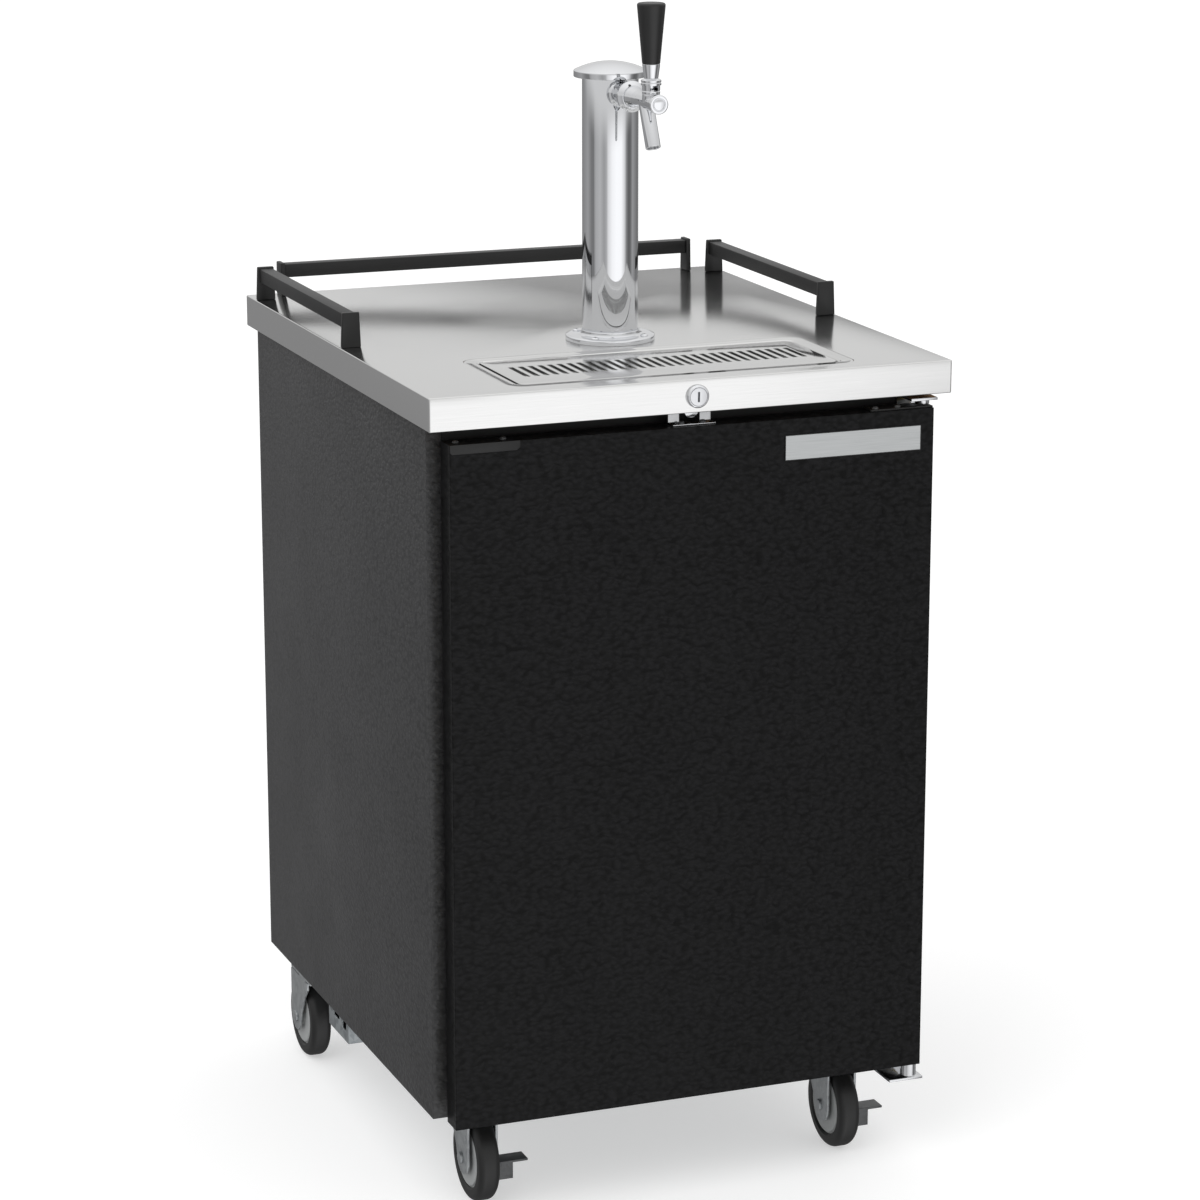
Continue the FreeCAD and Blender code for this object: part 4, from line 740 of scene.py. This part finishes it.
def cabinet():
    """Grained skins, door fittings and everything that only needs its edges broken."""
    # The side skins take the vinyl whose colours are painted lighter than the door's, for the light on that
    # side.
    deliver("side_skins", softened("side_panels", 0.5), "side_vinyl_painted_lighter", "side_panels")
    deliver("door_shell", softened("door_skin"), "door_vinyl_on_steel", "door_skin", sharp=50)
    soft = [
        ("pull_strip", 0.3, "black_nylon_strip"),
        ("door_hinge_leaf", 0.4, "black_nylon_strip"),
        ("latch_bracket", 0.3, "chromed_steel_pressing"),
        ("hinge_brackets", 0.4, "chromed_steel_pressing"),
        ("door_screws", 0.0, "dull_steel_pedal"),
        ("base_channel", 0.5, "galvanised_sheet"),
        ("door_liner", 1.5, "white_styrene_liner"),
        ("door_gasket", 1.2, "vinyl_gasket"),
        ("compressor", 0.0, "black_enamel"),
        ("refrigerant_lines", 0.0, "drawn_copper"),
        ("drain_tube", 0.0, "clear_pvc_line"),
        ("beer_line", 0.0, "clear_pvc_line"),
        ("thermostat_knob", 0.4, "grey_abs_dial"),
        ("evaporator_fan", 0.0, "black_polycarbonate"),
        ("condenser_fan", 0.0, "black_polycarbonate"),
        ("fan_motors", 0.0, "black_enamel"),
        ("tower_insulation", 0.0, "polyurethane_foam"),
        ("faucet_plunger", 0.0, "polished_chrome"),
        ("electrical_box", 0.6, "black_polycarbonate"),
    ]
    for node, edge, finish in soft:
        deliver(node + "_finished", softened(node, edge), finish, node)

    # The blank plate has a narrow black line round it.
    low, high = limits("badge_plate")
    inset, deep, shy = Vector((0.9, 0, 0.9)), Vector((0, 2, 0)), Vector((0, 0.15, 0))
    plate = slab(low + inset + shy, high - inset)
    deliver("badge_plate_blank", plate, "brushed_aluminium_plate", "badge_plate")
    border = shaped(slab(low, high), slab(low + inset - deep, high - inset + deep))
    deliver("badge_border", border, "black_nylon_strip", beside="badge_plate")

    kept = {
        "cabinet_foam": "polyurethane_foam",
        "door_core": "polyurethane_foam",
        "worktop_core": "particle_board",
        "chassis_pan": "galvanised_sheet",
        "face_frame": "black_nylon_strip",
        "inner_liner": "white_styrene_liner",
        "evaporator_housing": "white_styrene_liner",
        "evaporator_coil": "aluminium_fins",
        "condenser_coil": "aluminium_fins",
        "rear_grille": "satin_black_powder_coat",
    }
    for node, finish in kept.items():
        mesh = frame["nodes"][node].data
        mesh.materials.clear()
        mesh.materials.append(finishes[finish])


# ---------------------------------------------------------------- studio

def studio():
    """Camera, pale floor, and a soft sky that is dimmer low down on the left and behind."""
    scene = bpy.context.scene
    scene.view_settings.view_transform = "Standard"
    camera = bpy.data.objects.new("camera", bpy.data.cameras.new("camera"))
    scene.collection.objects.link(camera)
    camera.location = (-1.560, -4.0872, 1.7258)
    camera.rotation_euler = Vector((0.3495, 0.9040, -0.2463)).to_track_quat("-Z", "Y").to_euler()
    camera.data.lens = 114.9
    camera.data.sensor_width = 36.0
    scene.camera = camera

    floor_mesh = bpy.data.meshes.new("floor")
    bm = bmesh.new()
    bmesh.ops.create_grid(bm, x_segments=1, y_segments=1, size=40.0)
    bm.to_mesh(floor_mesh)
    bm.free()
    floor = bpy.data.objects.new("floor", floor_mesh)
    scene.collection.objects.link(floor)
    floor_paint = material(
        "pale_floor",
        lambda tree: {},
        Roughness=0.9,
        Base_Color=linear("#cccccc"),
        Emission_Color=linear("#ffffff"),
        Emission_Strength=0.47,
    )
    floor_mesh.materials.append(floor_paint)
    floor.visible_glossy = False

    world = bpy.data.worlds.new("studio")
    scene.world = world
    world.use_nodes = True
    tree = world.node_tree
    tree.nodes.clear()
    direction = add(tree, "TexCoord").outputs["Generated"]
    turn = add(tree, "TexGradient", {"Vector": direction}, gradient_type="RADIAL")
    walls = add(tree, "ValToRGB", {"Fac": turn.outputs["Fac"]})
    ramp = walls.color_ramp
    stops = [
        (0.000, 0.36),
        (0.025, 0.51),
        (0.075, 0.58),
        (0.122, 0.42),
        (0.150, 0.52),
        (0.169, 0.92),
        (0.214, 1.22),
        (0.262, 1.32),
        (0.320, 1.30),
        (0.358, 0.90),
        (0.386, 0.30),
        (0.414, 0.15),
        (0.445, 0.17),
        (0.480, 0.40),
        (0.525, 0.30),
        (0.575, 0.21),
        (0.691, 0.24),
        (0.808, 0.30),
        (0.903, 0.41),
        (0.965, 0.23),
    ]
    while len(ramp.elements) < len(stops):
        ramp.elements.new(0.5)
    for element, (position, level) in zip(ramp.elements, stops):
        element.position = position
        element.color = (level, level, level * 1.01, 1.0)
    height = add(tree, "SeparateXYZ", {0: direction}).outputs["Z"]
    rise = add(
        tree,
        "MapRange",
        {"Value": height, "From Min": -0.02, "From Max": 0.1, "To Min": 0.0, "To Max": 1.0},
        interpolation_type="SMOOTHSTEP",
    ).outputs[0]
    zenith = ranged(tree, height, 0.76, 1.2, 0.3, 1.0)
    sky = add(tree, "CombineColor", {0: zenith, 1: zenith, 2: zenith})
    whole = add(tree, "Mix", {0: rise, 6: walls.outputs[0], 7: sky.outputs[0]}, data_type="RGBA")
    shader = add(tree, "Background", {"Color": whole.outputs[2], "Strength": 1.0})
    add(tree, "OutputWorld", {"Surface": shader.outputs[0]})

    lamp = bpy.data.lights.new("key", "AREA")
    lamp.energy = 45.0
    lamp.size = 2.4
    key = bpy.data.objects.new("key", lamp)
    scene.collection.objects.link(key)
    key.location = (-2.6, -2.2, 3.4)
    key.rotation_euler = (Vector((0, 0, 0.6)) - key.location).to_track_quat("-Z", "Y").to_euler()
    key.visible_glossy = False


studio()
tower()
faucet()
worktop()
rails()
lock()
casters()
cabinet()
